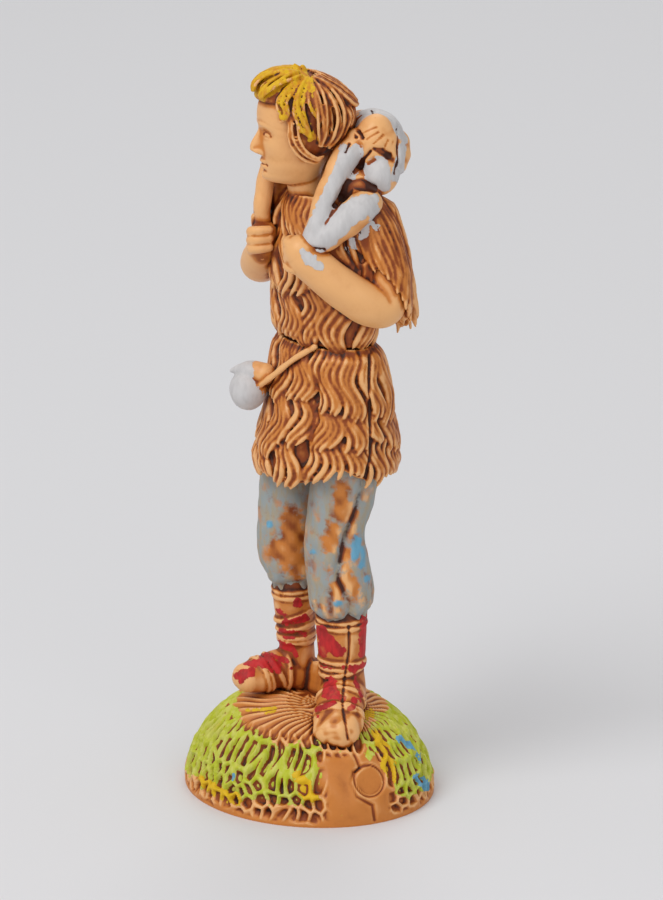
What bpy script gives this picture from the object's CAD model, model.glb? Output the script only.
import math

import bpy
import numpy as np
from bpy.props import FloatProperty, FloatVectorProperty, IntProperty, PointerProperty
from mathutils import Matrix, Vector
from mathutils.bvhtree import BVHTree


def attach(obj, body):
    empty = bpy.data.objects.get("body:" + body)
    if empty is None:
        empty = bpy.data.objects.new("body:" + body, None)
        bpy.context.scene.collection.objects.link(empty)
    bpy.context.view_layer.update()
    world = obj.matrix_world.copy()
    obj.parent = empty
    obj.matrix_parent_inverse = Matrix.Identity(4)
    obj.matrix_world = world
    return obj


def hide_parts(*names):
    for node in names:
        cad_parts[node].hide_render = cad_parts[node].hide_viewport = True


bl_info = {
    "name": "Painted shepherd figurine",
    "version": (1, 0, 0),
    "blender": (4, 5, 0),
    "location": "View3D > Sidebar > Figurine",
    "description": "Builds a painted plastic crib figure of a shepherd with a lamb, on its mound",
    "category": "Add Mesh",
}

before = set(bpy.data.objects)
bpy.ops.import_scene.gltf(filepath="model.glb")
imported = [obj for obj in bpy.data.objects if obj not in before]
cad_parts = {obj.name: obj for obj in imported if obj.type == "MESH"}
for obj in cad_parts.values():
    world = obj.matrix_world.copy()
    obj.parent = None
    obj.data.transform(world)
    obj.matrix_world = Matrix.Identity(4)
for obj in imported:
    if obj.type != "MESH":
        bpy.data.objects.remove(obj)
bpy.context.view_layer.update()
NODE = "shepherd_figurine"

MM = 0.001
TAU = 2 * math.pi
X_AXIS = (1.0, 0.0, 0.0)
Y_AXIS = (0.0, 1.0, 0.0)
Z_AXIS = (0.0, 0.0, 1.0)


# Numbers and curves


def smoothstep(value, low, high):
    share = np.clip((value - low) / (high - low), 0, 1)
    return share * share * (3 - 2 * share)


def unit(vectors):
    return vectors / np.maximum(np.linalg.norm(vectors, axis=-1, keepdims=True), 1e-9)


def around(angle, middle):
    """How far an angle is from the middle one, in radians, from -pi to pi."""
    return np.arctan2(np.sin(angle - middle), np.cos(angle - middle))


def spline(rows, steps):
    """A smooth run of values through the rows, with so many steps from each row to the next."""
    rows = np.array(rows, float)
    ends = np.vstack([2 * rows[0] - rows[1], rows, 2 * rows[-1] - rows[-2]])
    t = np.linspace(0, 1, steps, endpoint=False)[:, None]
    runs = [
        0.5 * (2 * b + (c - a) * t + (2 * a - 5 * b + 4 * c - d) * t**2 + (3 * b - a - 3 * c + d) * t**3)
        for a, b, c, d in zip(ends, ends[1:], ends[2:], ends[3:])
    ]
    return np.vstack(runs + [rows[-1:]])


def station(rows, values):
    """The columns of the rows, read at the given values of the first column."""
    rows = np.array(rows, float)
    return [np.interp(values, rows[:, 0], rows[:, k]) for k in range(1, rows.shape[1])]


def ripple(points, size, seed):
    """Smooth noise from -1 to 1 with features of about that size: a sum of random waves."""
    rng = np.random.default_rng(seed)
    waves = unit(rng.normal(size=(10, points.shape[-1]))) * rng.uniform(0.6, 1.6, (10, 1)) * TAU / (2.5 * size)
    shifts = rng.uniform(0, TAU, 10)
    return np.sin(points @ waves.T + shifts).sum(axis=-1) / 4.5


def cells(u, v, seed):
    """Distances to the nearest and second nearest of points scattered one to a unit square."""
    cu, cv = np.floor(u), np.floor(v)
    nearest = np.full(u.shape, 9.0)
    second = np.full(u.shape, 9.0)
    for du in (-1, 0, 1):
        for dv in (-1, 0, 1):
            a, b = cu + du, cv + dv
            hash_a = np.abs(np.sin(a * 127.1 + b * 311.7 + seed) * 43758.5453) % 1
            hash_b = np.abs(np.sin(a * 269.5 + b * 183.3 + seed) * 22578.1459) % 1
            away = np.hypot(a + 0.15 + 0.7 * hash_a - u, b + 0.15 + 0.7 * hash_b - v)
            second = np.minimum(second, np.maximum(nearest, away))
            nearest = np.minimum(nearest, away)
    return nearest, second


# the coats are brushed on from the front left and a little above, so a dab takes in more depth
BRUSH = np.array((0.756, -0.590, 0.284))
DEPTH_SHARE = 0.3


def squashed(points):
    """Points with their depth along the brush's direction shortened."""
    points = np.asarray(points, float)
    return points - (1 - DEPTH_SHARE) * (points @ BRUSH)[..., None] * BRUSH


def dabs(points, strokes):
    """The stroke field of strokes that are brushed on along one direction."""
    runs = []
    for stroke in strokes:
        run = np.array(stroke, float)
        runs.append(np.hstack([squashed(run[:, :3]), run[:, 3:]]))
    return stroke_field(squashed(points), runs)


def cuts(points, lines, width, depth):
    """Depth of narrow cuts along lines of (x, y, z)."""
    lined = [[(*place, 0.0) for place in line] for line in lines]
    return depth * np.exp(-((dabs(points, lined) / width) ** 2))


def stroke_field(points, strokes):
    """Signed distance in mm, positive inside, to the union of brush strokes. A stroke is a run
    of (x, y, z, half width)."""
    field = np.full(len(points), -99.0)
    for stroke in strokes:
        run = np.array(stroke, float)
        if len(run) == 1:
            run = np.vstack([run, run])
        for a, b in zip(run, run[1:]):
            along = b[:3] - a[:3]
            length = max(float(along @ along), 1e-9)
            share = np.clip((points - a[:3]) @ along / length, 0, 1)
            nearest = a[:3] + share[:, None] * along
            half = a[3] + share * (b[3] - a[3])
            field = np.maximum(field, half - np.linalg.norm(points - nearest, axis=1))
    return field


# Modelling closed shapes


class Clay:
    """Overlapping closed shapes in millimetres, to be fused into one skin."""

    def __init__(self):
        self.points = []
        self.faces = []
        self.count = 0

    def add(self, points, faces):
        self.points.append(points)
        self.faces.append(faces + self.count)
        self.count += len(points)

    def rings(self, rings, foot=None, tip=None, closed=False):
        """Rings of points that run the same way round, from foot to tip. Where closed, the last
        ring joins the first and there are no ends."""
        rows, sides = rings.shape[:2]
        index = np.arange(rows * sides).reshape(rows, sides)
        ahead = np.roll(index, -1, axis=1)
        if closed:
            low, high = index, np.roll(index, -1, axis=0)
            low2, high2 = ahead, np.roll(ahead, -1, axis=0)
        else:
            low, high, low2, high2 = index[:-1], index[1:], ahead[:-1], ahead[1:]
        faces = [
            np.stack([low, low2, high2], -1).reshape(-1, 3),
            np.stack([low, high2, high], -1).reshape(-1, 3),
        ]
        points = rings.reshape(-1, 3)
        if not closed:
            foot = rings[0].mean(axis=0) if foot is None else foot
            tip = rings[-1].mean(axis=0) if tip is None else tip
            points = np.vstack([points, foot, tip])
            end = np.full(sides, rows * sides)
            faces.append(np.stack([ahead[0], index[0], end], -1))
            faces.append(np.stack([index[-1], ahead[-1], end + 1], -1))
        self.add(points, np.vstack(faces))

    def limb(self, rows, sides=32, steps=7, across=X_AXIS, floor=None):
        """An oval section swept through rows of [x, y, z, radius, second radius], with round
        ends. The first radius lies along across, and floor gives the lowest z allowed."""
        self.rings(*limb_rings(rows, sides, steps, across, floor))

    def strand(self, path, radii, sides=8, closed=False, out=None):
        """A round strand along a path, which tapers as its radii do. out is the direction away
        from what it lies on, where one is known."""
        if closed:
            along = np.roll(path, -1, axis=0) - np.roll(path, 1, axis=0)
        else:
            along = np.gradient(path, axis=0)
        along = unit(along)
        if out is None:
            out = np.eye(3)[np.argmin(np.abs(along).mean(axis=0))]
        side = unit(np.cross(along, out))
        up = np.cross(side, along)
        turn = np.arange(sides) * TAU / sides
        spread = side[:, None] * np.cos(turn)[:, None] - up[:, None] * np.sin(turn)[:, None]
        rings = path[:, None] + spread * np.broadcast_to(radii, len(path))[:, None, None]
        self.rings(rings, closed=closed)

    def blob(self, place, half, turn_deg=0, sides=28):
        """An ellipsoid with its three half sizes, turned about Z."""
        tilt = np.linspace(-0.5, 0.5, sides // 2 + 1)[1:-1, None] * math.pi
        turn = np.arange(sides) * TAU / sides
        ring = np.stack(
            [np.cos(tilt) * np.cos(turn), np.cos(tilt) * np.sin(turn), np.sin(tilt) + 0 * turn], -1
        )
        spin = np.array(Matrix.Rotation(math.radians(turn_deg), 3, "Z"))
        shape = (ring * half) @ spin.T + place
        self.rings(shape, np.array(place) - (0, 0, half[2]), np.array(place) + (0, 0, half[2]))

    def mesh(self, name):
        points, faces = np.vstack(self.points), np.vstack(self.faces)
        mesh = bpy.data.meshes.new(name)
        mesh.vertices.add(len(points))
        mesh.vertices.foreach_set("co", points.ravel())
        mesh.loops.add(faces.size)
        mesh.loops.foreach_set("vertex_index", faces.ravel())
        mesh.polygons.add(len(faces))
        mesh.polygons.foreach_set("loop_start", np.arange(0, faces.size, 3))
        mesh.update(calc_edges=True)
        return mesh


def limb_run(rows, steps, across):
    """The middle line, the two radii and the two directions of a limb's section."""
    run = spline([(*row, row[3]) if len(row) == 4 else row for row in rows], steps)
    centre, size = run[:, :3], run[:, 3:]
    along = unit(np.gradient(centre, axis=0))
    across = np.array(across, float)
    side = unit(across - (along @ across)[:, None] * along)
    return centre, size, along, side, np.cross(along, side)


def limb_rings(rows, sides, steps, across, floor):
    centre, size, along, side, up = limb_run(rows, steps, across)
    turn = np.arange(sides) * TAU / sides
    dome = np.radians([75, 55, 35, 15])

    def ring(i, share, push):
        middle = centre[i] + along[i] * push * size[i].min()
        wide = np.cos(turn)[:, None] * side[i] * size[i, 0]
        high = np.sin(turn)[:, None] * up[i] * size[i, 1]
        points = middle + share * (wide + high)
        if floor is not None:
            points[:, 2] = np.maximum(points[:, 2], floor(points))
        return points

    rings = [ring(0, math.cos(tilt), -math.sin(tilt)) for tilt in dome]
    rings += [ring(i, 1, 0) for i in range(len(centre))]
    rings += [ring(-1, math.cos(tilt), math.sin(tilt)) for tilt in dome[::-1]]
    return (
        np.array(rings),
        centre[0] - along[0] * size[0].min(),
        centre[-1] + along[-1] * size[-1].min(),
    )


def band_round(rows, place, grow, steps=12, across=X_AXIS, tilt=0.0, tilt_deg=0.0, sides=48):
    """A closed path round a limb, at a place counted in rows, a little outside its skin. The
    path leans by tilt towards tilt_deg."""
    centre, size, along, side, up = limb_run(rows, steps, across)
    turn = np.arange(sides) * TAU / sides
    lean = tilt * np.cos(turn - math.radians(tilt_deg))
    t = np.clip(place * steps + 0 * turn, 0, len(centre) - 1)
    i = np.floor(t).astype(int)
    wide = np.cos(turn)[:, None] * side[i] * (size[i, 0] + grow)[:, None]
    high = np.sin(turn)[:, None] * up[i] * (size[i, 1] + grow)[:, None]
    return centre[i] + wide + high + lean[:, None] * along[i]


# Pieces


def link(name, mesh):
    piece = bpy.data.objects.new(name, mesh)
    bpy.context.scene.collection.objects.link(piece)
    return piece


def baked(piece):
    """The piece's mesh with its modifiers applied, in the same object."""
    bpy.context.view_layer.update()
    shaped = piece.evaluated_get(bpy.context.evaluated_depsgraph_get())
    old = piece.data
    piece.data = bpy.data.meshes.new_from_object(shaped)
    piece.modifiers.clear()
    bpy.data.meshes.remove(old)
    return piece


def fused(name, clay, voxel, soften=2):
    """One closed skin round the overlapping shapes, with its creases softened a little."""
    piece = link(name, clay.mesh(name))
    remesh = piece.modifiers.new("Fuse", "REMESH")
    remesh.mode = "VOXEL"
    remesh.voxel_size = voxel
    relax = piece.modifiers.new("Soften", "SMOOTH")
    relax.factor = 0.5
    relax.iterations = soften
    return baked(piece)


def places(piece):
    data = np.empty(len(piece.data.vertices) * 3, np.float32)
    piece.data.vertices.foreach_get("co", data)
    return data.reshape(-1, 3).astype(float)


def normals(piece):
    data = np.empty(len(piece.data.vertices) * 3, np.float32)
    piece.data.vertices.foreach_get("normal", data)
    return data.reshape(-1, 3).astype(float)


def move(piece, points):
    piece.data.vertices.foreach_set("co", points.astype(np.float32).ravel())
    piece.data.update()


def relaxed(piece, times):
    """Where the vertices would lie if the skin were smoothed that many times."""
    modifier = piece.modifiers.new("Relax", "SMOOTH")
    modifier.factor = 0.5
    modifier.iterations = times
    bpy.context.view_layer.update()
    shaped = piece.evaluated_get(bpy.context.evaluated_depsgraph_get())
    data = np.empty(len(piece.data.vertices) * 3, np.float32)
    shaped.data.vertices.foreach_get("co", data)
    piece.modifiers.remove(modifier)
    return data.reshape(-1, 3).astype(float)


def mark(piece, name, values):
    layer = piece.data.attributes.get(name) or piece.data.attributes.new(name, "FLOAT", "POINT")
    layer.data.foreach_set("value", np.asarray(values, np.float32))


def marked(piece, name):
    data = np.empty(len(piece.data.vertices), np.float32)
    piece.data.attributes[name].data.foreach_get("value", data)
    return data.astype(float)


def mark_hollows(piece, fine=8, broad=60):
    """Marks how deep each point lies in a groove and in a broad hollow, in mm."""
    here, out = places(piece), normals(piece)
    mark(piece, "hollow", ((relaxed(piece, fine) - here) * out).sum(axis=1))
    mark(piece, "deep", ((relaxed(piece, broad) - here) * out).sum(axis=1))
    if "join" not in piece.data.attributes:
        mark(piece, "join", np.zeros(len(here)))


def hand_over(piece, material):
    """Scales a piece to metres, smooths its shading, paints it and fixes it to the figure."""
    piece.data.transform(Matrix.Scale(MM, 4))
    piece.data.shade_smooth()
    piece.data.materials.clear()
    piece.data.materials.append(material)
    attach(piece, "root")
    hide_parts(NODE)
    return piece


# Finishes


def srgb(*channels):
    """A colour given as it looks on screen, turned to the linear values that shaders take."""
    return tuple(c / 12.92 if c <= 0.04045 else ((c + 0.055) / 1.055) ** 2.4 for c in channels)


class Nodes:
    """Adds and links the nodes of one material or node group."""

    def __init__(self, tree):
        self.tree = tree

    def add(self, kind, inputs=(), **settings):
        node = self.tree.nodes.new(kind)
        for name, value in settings.items():
            setattr(node, name, value)
        for socket, value in dict(inputs).items():
            if isinstance(value, bpy.types.NodeSocket):
                self.tree.links.new(value, node.inputs[socket])
            else:
                node.inputs[socket].default_value = value
        return node

    def math(self, operation, first, second=0.0, third=0.0):
        inputs = {0: first, 1: second, 2: third}
        return self.add("ShaderNodeMath", inputs, operation=operation).outputs[0]

    def step(self, value, low, high):
        """0 below low, 1 above high, smooth between."""
        inputs = {"Value": value, "From Min": low, "From Max": high}
        return self.add("ShaderNodeMapRange", inputs, interpolation_type="SMOOTHSTEP").outputs[0]

    def mix(self, factor, first, second):
        inputs = {0: factor, 6: first, 7: second}
        return self.add("ShaderNodeMix", inputs, data_type="RGBA").outputs[2]

    def noise(self, size, detail=2.0, stretch=(1, 1, 1), seed=0.0):
        """Noise from 0 to 1 with features of about that size in mm."""
        place = self.add("ShaderNodeTexCoord").outputs["Object"]
        scale = tuple(s / (size * MM) for s in stretch)
        inputs = {"Vector": place, "Scale": scale, "Location": (seed, seed * 1.7, seed * 0.6)}
        fitted = self.add("ShaderNodeMapping", inputs).outputs[0]
        inputs = {"Vector": fitted, "Scale": 1.0, "Detail": detail, "Roughness": 0.55}
        return self.add("ShaderNodeTexNoise", inputs).outputs[0]

    def marked(self, name):
        return self.add("ShaderNodeAttribute", attribute_name=name).outputs["Fac"]


def new_group(name, inputs, outputs):
    """A shader node group with its sockets. Inputs map a name to a default value."""
    group = bpy.data.node_groups.new(name, "ShaderNodeTree")
    for socket, value in inputs.items():
        kind = "NodeSocketColor" if isinstance(value, tuple) else "NodeSocketFloat"
        made = group.interface.new_socket(name=socket, in_out="INPUT", socket_type=kind)
        made.default_value = (*value, 1.0) if isinstance(value, tuple) else value
    for socket, kind in outputs.items():
        group.interface.new_socket(name=socket, in_out="OUTPUT", socket_type=kind)
    nodes = Nodes(group)
    return group, nodes, nodes.add("NodeGroupInput").outputs, nodes.add("NodeGroupOutput")


def washed_plastic_group():
    """Bare moulded plastic under a thin brown wash: pale on the crests, where the wash was
    wiped off, and brown in the grooves and where two forms meet."""
    group, nodes, given, out = new_group(
        "Washed plastic",
        {
            "Hollow": 0.0,
            "Deep": 0.0,
            "Join": 0.0,
            "Crest": srgb(0.93, 0.70, 0.46),
            "Tone": srgb(0.80, 0.49, 0.20),
            "Brown": srgb(0.55, 0.25, 0.05),
            "Dark": srgb(0.25, 0.09, 0.02),
            "Groove Depth": 0.03,
            "Broad Depth": 0.12,
            "Wiped": 0.0,
        },
        {"Color": "NodeSocketColor", "Roughness": "NodeSocketFloat", "Height": "NodeSocketFloat"},
    )
    cloud = nodes.noise(4.0, 3.0)
    speck = nodes.noise(0.5, 3.0, seed=7)
    uneven = nodes.math("MULTIPLY_ADD", cloud, 0.9, nodes.math("MULTIPLY_ADD", speck, 0.5, -0.7))
    depth = nodes.math("DIVIDE", given["Hollow"], given["Groove Depth"])
    broad = nodes.math("DIVIDE", given["Deep"], given["Broad Depth"])
    level = nodes.math("MULTIPLY_ADD", uneven, 0.9, nodes.math("ADD", depth, broad))
    level = nodes.math("MULTIPLY_ADD", given["Join"], 2.6, level)
    level = nodes.math("SUBTRACT", level, given["Wiped"])
    colour = nodes.mix(nodes.step(level, -1.3, 0.1), given["Crest"], given["Tone"])
    colour = nodes.mix(nodes.step(level, 0.1, 1.5), colour, given["Brown"])
    colour = nodes.mix(nodes.step(level, 1.7, 3.4), colour, given["Dark"])
    link_out = nodes.tree.links.new
    link_out(colour, out.inputs["Color"])
    link_out(nodes.math("MULTIPLY_ADD", nodes.step(level, -0.2, 1.2), 0.16, 0.42), out.inputs["Roughness"])
    link_out(nodes.math("MULTIPLY", speck, 0.02), out.inputs["Height"])
    return group


# a brushed coat is at its thickest this far inside its edge, in mm
FULL_COAT = 0.6


def brushed_paint_group():
    """One brushed coat of matt paint over what lies below. It ends in a ragged edge, skips the
    grooves, and is rubbed thin in places."""
    group, nodes, given, out = new_group(
        "Brushed paint",
        {
            "Under Color": (0.5, 0.5, 0.5),
            "Under Roughness": 0.45,
            "Under Height": 0.0,
            "Area": 0.0,
            "Hollow": 0.0,
            "Paint": (0.8, 0.8, 0.8),
            "Streak": (0.7, 0.7, 0.7),
            "Ragged": 0.5,
            "Softness": 0.06,
            "Skip": 1.0,
            "Rubbed": 0.0,
            "Coat Roughness": 0.6,
        },
        {"Color": "NodeSocketColor", "Roughness": "NodeSocketFloat", "Height": "NodeSocketFloat"},
    )
    edge_noise = nodes.noise(0.9, 3.0, seed=3)
    worn_noise = nodes.noise(2.2, 4.0, seed=11)
    streak_noise = nodes.noise(0.8, 2.0, stretch=(1, 1, 0.35), seed=5)
    edge = nodes.math("MULTIPLY", nodes.math("SUBTRACT", edge_noise, 0.5), nodes.math("MULTIPLY", given["Ragged"], 3.0))
    inside = nodes.math("ADD", nodes.math("MINIMUM", given["Area"], FULL_COAT), edge)
    missed = nodes.math("MULTIPLY", nodes.math("MAXIMUM", given["Hollow"], 0.0), nodes.math("MULTIPLY", given["Skip"], 16.0))
    inside = nodes.math("SUBTRACT", inside, missed)
    cover = nodes.step(inside, nodes.math("MULTIPLY", given["Softness"], -1.0), given["Softness"])
    worn = nodes.step(nodes.math("ADD", worn_noise, nodes.math("MULTIPLY", given["Rubbed"], 0.6)), 0.62, 0.82)
    thin = nodes.math("MULTIPLY", worn, nodes.math("MINIMUM", nodes.math("MULTIPLY", given["Rubbed"], 3.0), 1.0))
    cover = nodes.math("MULTIPLY", cover, nodes.math("SUBTRACT", 1.0, thin))
    coat = nodes.mix(nodes.step(streak_noise, 0.35, 0.7), given["Paint"], given["Streak"])
    link_out = nodes.tree.links.new
    link_out(nodes.mix(cover, given["Under Color"], coat), out.inputs["Color"])
    rough = nodes.math("SUBTRACT", given["Coat Roughness"], given["Under Roughness"])
    link_out(nodes.math("MULTIPLY_ADD", cover, rough, given["Under Roughness"]), out.inputs["Roughness"])
    raised = nodes.math("MULTIPLY_ADD", cover, 0.06, given["Under Height"])
    raised = nodes.math("MULTIPLY_ADD", nodes.math("MULTIPLY", cover, streak_noise), 0.04, raised)
    link_out(raised, out.inputs["Height"])
    return group


def finish(name, wash=(), coats=()):
    """A painted plastic material. The wash holds values for the bare plastic, and each coat is
    (mark that holds its area, values for the brushed paint)."""
    made = bpy.data.materials.get(name)
    if made:
        return made
    material = bpy.data.materials.new(name)
    material.use_nodes = True
    nodes = Nodes(material.node_tree)
    shader = material.node_tree.nodes["Principled BSDF"]
    groups = bpy.data.node_groups
    plastic = groups.get("Washed plastic") or washed_plastic_group()
    paint = groups.get("Brushed paint") or brushed_paint_group()
    hollow = nodes.marked("hollow")
    inputs = {"Hollow": hollow, "Deep": nodes.marked("deep"), "Join": nodes.marked("join")}
    layer = nodes.add("ShaderNodeGroup", node_tree=plastic)
    set_inputs(nodes, layer, {**inputs, **dict(wash)})
    for area, values in coats:
        coat = nodes.add("ShaderNodeGroup", node_tree=paint)
        below = {
            "Under Color": layer.outputs["Color"],
            "Under Roughness": layer.outputs["Roughness"],
            "Under Height": layer.outputs["Height"],
            "Area": nodes.marked(area),
            "Hollow": hollow,
        }
        set_inputs(nodes, coat, {**below, **values})
        layer = coat
    bump = nodes.add("ShaderNodeBump", {"Strength": 0.6, "Distance": MM, "Height": layer.outputs["Height"]})
    links = material.node_tree.links
    links.new(layer.outputs["Color"], shader.inputs["Base Color"])
    links.new(layer.outputs["Roughness"], shader.inputs["Roughness"])
    links.new(bump.outputs["Normal"], shader.inputs["Normal"])
    shader.inputs["Specular IOR Level"].default_value = 0.4
    return material


def set_inputs(nodes, node, values):
    for socket, value in values.items():
        if isinstance(value, bpy.types.NodeSocket):
            nodes.tree.links.new(value, node.inputs[socket])
        elif isinstance(value, (tuple, list)) or hasattr(value, "__len__"):
            node.inputs[socket].default_value = (*tuple(value)[:3], 1.0)
        else:
            node.inputs[socket].default_value = value


# Settings: the sizes and colours that a user would change


def length_property(name, description, default):
    return FloatProperty(name=name, description=description, default=default * MM, min=0, unit="LENGTH", precision=5)


def colour_property(name, description, default):
    return FloatVectorProperty(
        name=name, description=description, default=srgb(*default), min=0, max=1, subtype="COLOR"
    )


class FigurineSizes(bpy.types.PropertyGroup):
    fleece_strand: length_property("Fleece strand", "Radius of one carved strand of fleece", 0.40)
    fleece_wave: length_property("Fleece wave", "How far the strands of fleece wave to the side", 1.0)
    fleece_wave_length: length_property("Wave length", "Length of one wave of the fleece", 8.4)
    hair_strand: length_property("Hair strand", "Radius of one carved strand of hair", 0.24)
    pit_depth: length_property("Pit depth", "Depth of the pits in the grass of the mound", 0.95)
    voxel: length_property("Mesh fineness", "Edge length of the mesh of the carved pieces", 0.2)
    locks_round_skirt: IntProperty(
        name="Locks round skirt", description="Locks of fleece in one tier of the skirt", default=14, min=4
    )


class FigurineColours(bpy.types.PropertyGroup):
    white: colour_property("White", "Paint on the lamb and the gourd", (0.80, 0.79, 0.79))
    yellow: colour_property("Yellow", "Paint on the hair", (0.88, 0.70, 0.05))
    amber: colour_property("Amber", "Thin places in the yellow paint", (0.80, 0.53, 0.07))
    blue_grey: colour_property("Grey-blue", "Paint on the breeches", (0.60, 0.63, 0.63))
    warm_grey: colour_property("Warm grey", "Thin places in the paint on the breeches", (0.66, 0.61, 0.52))
    bright_blue: colour_property("Light blue", "Stray blue paint on breeches and mound", (0.42, 0.66, 0.78))
    red: colour_property("Red", "Paint on the boots", (0.78, 0.14, 0.15))
    grass: colour_property("Grass green", "Paint on the mound's grass", (0.72, 0.75, 0.13))
    pale_grass: colour_property("Pale green", "Thin places in the green paint", (0.80, 0.80, 0.38))
    golden: colour_property("Golden yellow", "Second paint on the mound", (0.89, 0.72, 0.04))


def sizes():
    return bpy.context.scene.figurine_sizes


def colours():
    return bpy.context.scene.figurine_colours


# Mound

MOUND = {"half_width": 18.0, "half_depth": 16.0, "height": 12.8}
# rows of [share round the profile, height share, radius share]
MOUND_PROFILE = [
    [0.0, 0.0, 0.985],
    [0.03, 0.01, 1.0],
    [0.12, 0.14, 0.998],
    [0.2, 0.26, 0.978],
    [0.28, 0.38, 0.945],
    [0.38, 0.52, 0.885],
    [0.5, 0.68, 0.8],
    [0.62, 0.81, 0.69],
    [0.75, 0.915, 0.54],
    [0.88, 0.975, 0.34],
    [1.0, 1.0, 0.1],
]
BARE_DEG = -17
DISC = {"place": (16.1, -2.5, 5.5), "radius": 2.0}


def mound_relief(points, angle, share, depth):
    """Height of the relief over the plain mound, in mm."""
    warp = 0.35 * ripple(points, 3.0, 4)
    reach = np.hypot(points[:, 0], points[:, 1])
    nearest, second = cells(angle * 15.0 / 1.5 + warp, share * 20.0 / 2.6 + warp, 3.0)
    pits = -depth * smoothstep(second - nearest, 0.1, 0.42) * smoothstep(-nearest, -0.8, -0.4)
    pits = pits * (0.8 + 0.3 * ripple(points, 2.0, 8))
    lumps = 0.12 * ripple(points, 0.8, 15)
    bare = 1 - smoothstep(np.abs(around(angle, math.radians(BARE_DEG))), 0.24, 0.38)
    bare = bare * smoothstep(-share, -0.66, -0.58)
    straw = smoothstep(share, 0.64, 0.76)
    rim = smoothstep(-share, -0.2, -0.12)
    grass = (1 - bare) * (1 - straw) * (1 - rim)
    fan = np.arctan2(points[:, 1] + 1.0, points[:, 0] - 7.0)
    fibres = 0.22 * np.sin(fan * 46 + 3 * ripple(points, 2.5, 9)) * straw * smoothstep(reach, 1.0, 3.0)
    soft = 0.14 * ripple(points, 1.6, 12) * bare * (1 - rim)
    hanging = -0.45 * depth * smoothstep(ripple(points, 1.1, 31), 0.1, 0.6) * rim * smoothstep(share, 0.1, 0.17)
    furrow = cuts(points, [PARTING_MOUND], 0.2, 0.3)
    return grass * (pits + lumps) + fibres + soft + hanging * (1 - bare) - furrow


def make_mound():
    COLUMNS, ROWS = 500, 108
    depth = sizes().pit_depth / MM
    share = np.linspace(0, 1, ROWS)
    profile = spline([row[1:] for row in MOUND_PROFILE], 12)
    where = np.interp(share, np.linspace(0, 1, len(profile)), np.arange(len(profile)))
    up, out = (np.interp(where, np.arange(len(profile)), profile[:, k]) for k in (0, 1))
    angle = np.arange(COLUMNS) * TAU / COLUMNS
    rings = np.stack(
        [
            np.outer(out, np.cos(angle)) * MOUND["half_width"],
            np.outer(out, np.sin(angle)) * MOUND["half_depth"],
            np.outer(up, np.ones(COLUMNS)) * MOUND["height"],
        ],
        -1,
    )
    flat = rings.reshape(-1, 3)
    lift = mound_relief(flat, np.tile(angle, ROWS), np.repeat(share, COLUMNS), depth)
    outward = unit(flat * (1 / MOUND["half_width"] ** 2, 1 / MOUND["half_depth"] ** 2, 1 / MOUND["height"] ** 2))
    outward[: COLUMNS * 2] = 0
    points = flat + outward * lift[:, None]
    disc_place = np.array(DISC["place"])
    facing = unit(disc_place[None] * (1, 1.2, 1.4))[0]
    away = points - disc_place
    beside = np.linalg.norm(away - (away @ facing)[:, None] * facing, axis=1)
    inside = smoothstep(-beside, -DISC["radius"], -DISC["radius"] + 0.25) * (np.abs(away @ facing) < 3)
    points = points - (inside * (away @ facing))[:, None] * facing
    step = np.exp(-(((beside - DISC["radius"] - 0.1) / 0.16) ** 2)) * (np.abs(away @ facing) < 3)
    points = points - (0.3 * step)[:, None] * facing
    clay = Clay()
    clay.rings(points.reshape(ROWS, COLUMNS, 3), foot=(0, 0, 0))
    piece = link("mound", clay.mesh("mound"))
    points = places(piece)
    points[:, 2] = np.maximum(points[:, 2], 0)
    move(piece, points)
    return piece


# Breeches and boots

# rows of [x, y, z, radius] from the hem under the knee up into the tunic
BREECHES_LEFT = [
    [5.5, 1.15, 25.6, 3.3],
    [5.5, 1.1, 26.4, 4.0],
    [5.5, 1.1, 28.6, 4.3],
    [5.3, 0.7, 32.4, 4.2],
    [5.1, 0.4, 36.8, 3.9],
    [5.6, 1.2, 42, 4.3],
    [6.0, 1.8, 47, 4.5],
]
BREECHES_RIGHT = [
    [-3.7, 0.2, 28.0, 3.0],
    [-3.8, 0.1, 29.0, 3.65],
    [-4.0, -0.2, 31.6, 4.05],
    [-4.1, -0.4, 35.6, 3.98],
    [-3.8, 0.0, 41.5, 4.15],
    [-3.6, 0.4, 47, 4.4],
]
# rows of [x, y, z, radius] from the sole up to the hem of the breeches
SHIN_LEFT = [
    [5.7, 1.4, 13.0, 3.05],
    [5.65, 1.35, 15.4, 3.0],
    [5.6, 1.25, 17.6, 2.9],
    [5.5, 1.2, 20.4, 3.2],
    [5.5, 1.15, 23.4, 3.4],
    [5.5, 1.15, 26.6, 3.1],
]
SHIN_RIGHT = [
    [-3.5, 1.0, 14.0, 2.45],
    [-3.5, 0.7, 17.0, 2.4],
    [-3.5, 0.6, 19.6, 2.4],
    [-3.5, 0.5, 22.4, 2.65],
    [-3.6, 0.4, 25.4, 3.0],
    [-3.7, 0.25, 28.6, 2.8],
]
# rows of [x, y, z, half width, half height] from the heel to the toe
BOOT_LEFT = [
    [4.3, 3.0, 14.2, 2.6, 2.4],
    [5.9, 1.2, 14.6, 3.0, 2.8],
    [7.6, -0.5, 14.0, 3.1, 3.0],
    [9.0, -1.9, 12.8, 3.15, 2.7],
    [9.9, -2.8, 12.0, 3.35, 2.5],
    [10.9, -3.8, 11.2, 3.1, 2.2],
]
BOOT_RIGHT = [
    [-3.0, 2.6, 14.2, 2.4, 2.3],
    [-3.5, 1.0, 14.8, 2.6, 2.7],
    [-4.2, -1.6, 15.4, 2.6, 2.8],
    [-4.6, -3.4, 15.2, 2.55, 2.4],
    [-4.9, -5.0, 15.1, 2.65, 2.3],
    [-5.1, -6.5, 15.0, 2.35, 2.0],
]
SOLE_LEFT = {"heel": 12.2, "toe": 9.2}
SOLE_RIGHT = {"heel": 12.0, "toe": 12.9}
BOOT_LEFT_ACROSS = (0.7, 0.7, 0.0)


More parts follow.
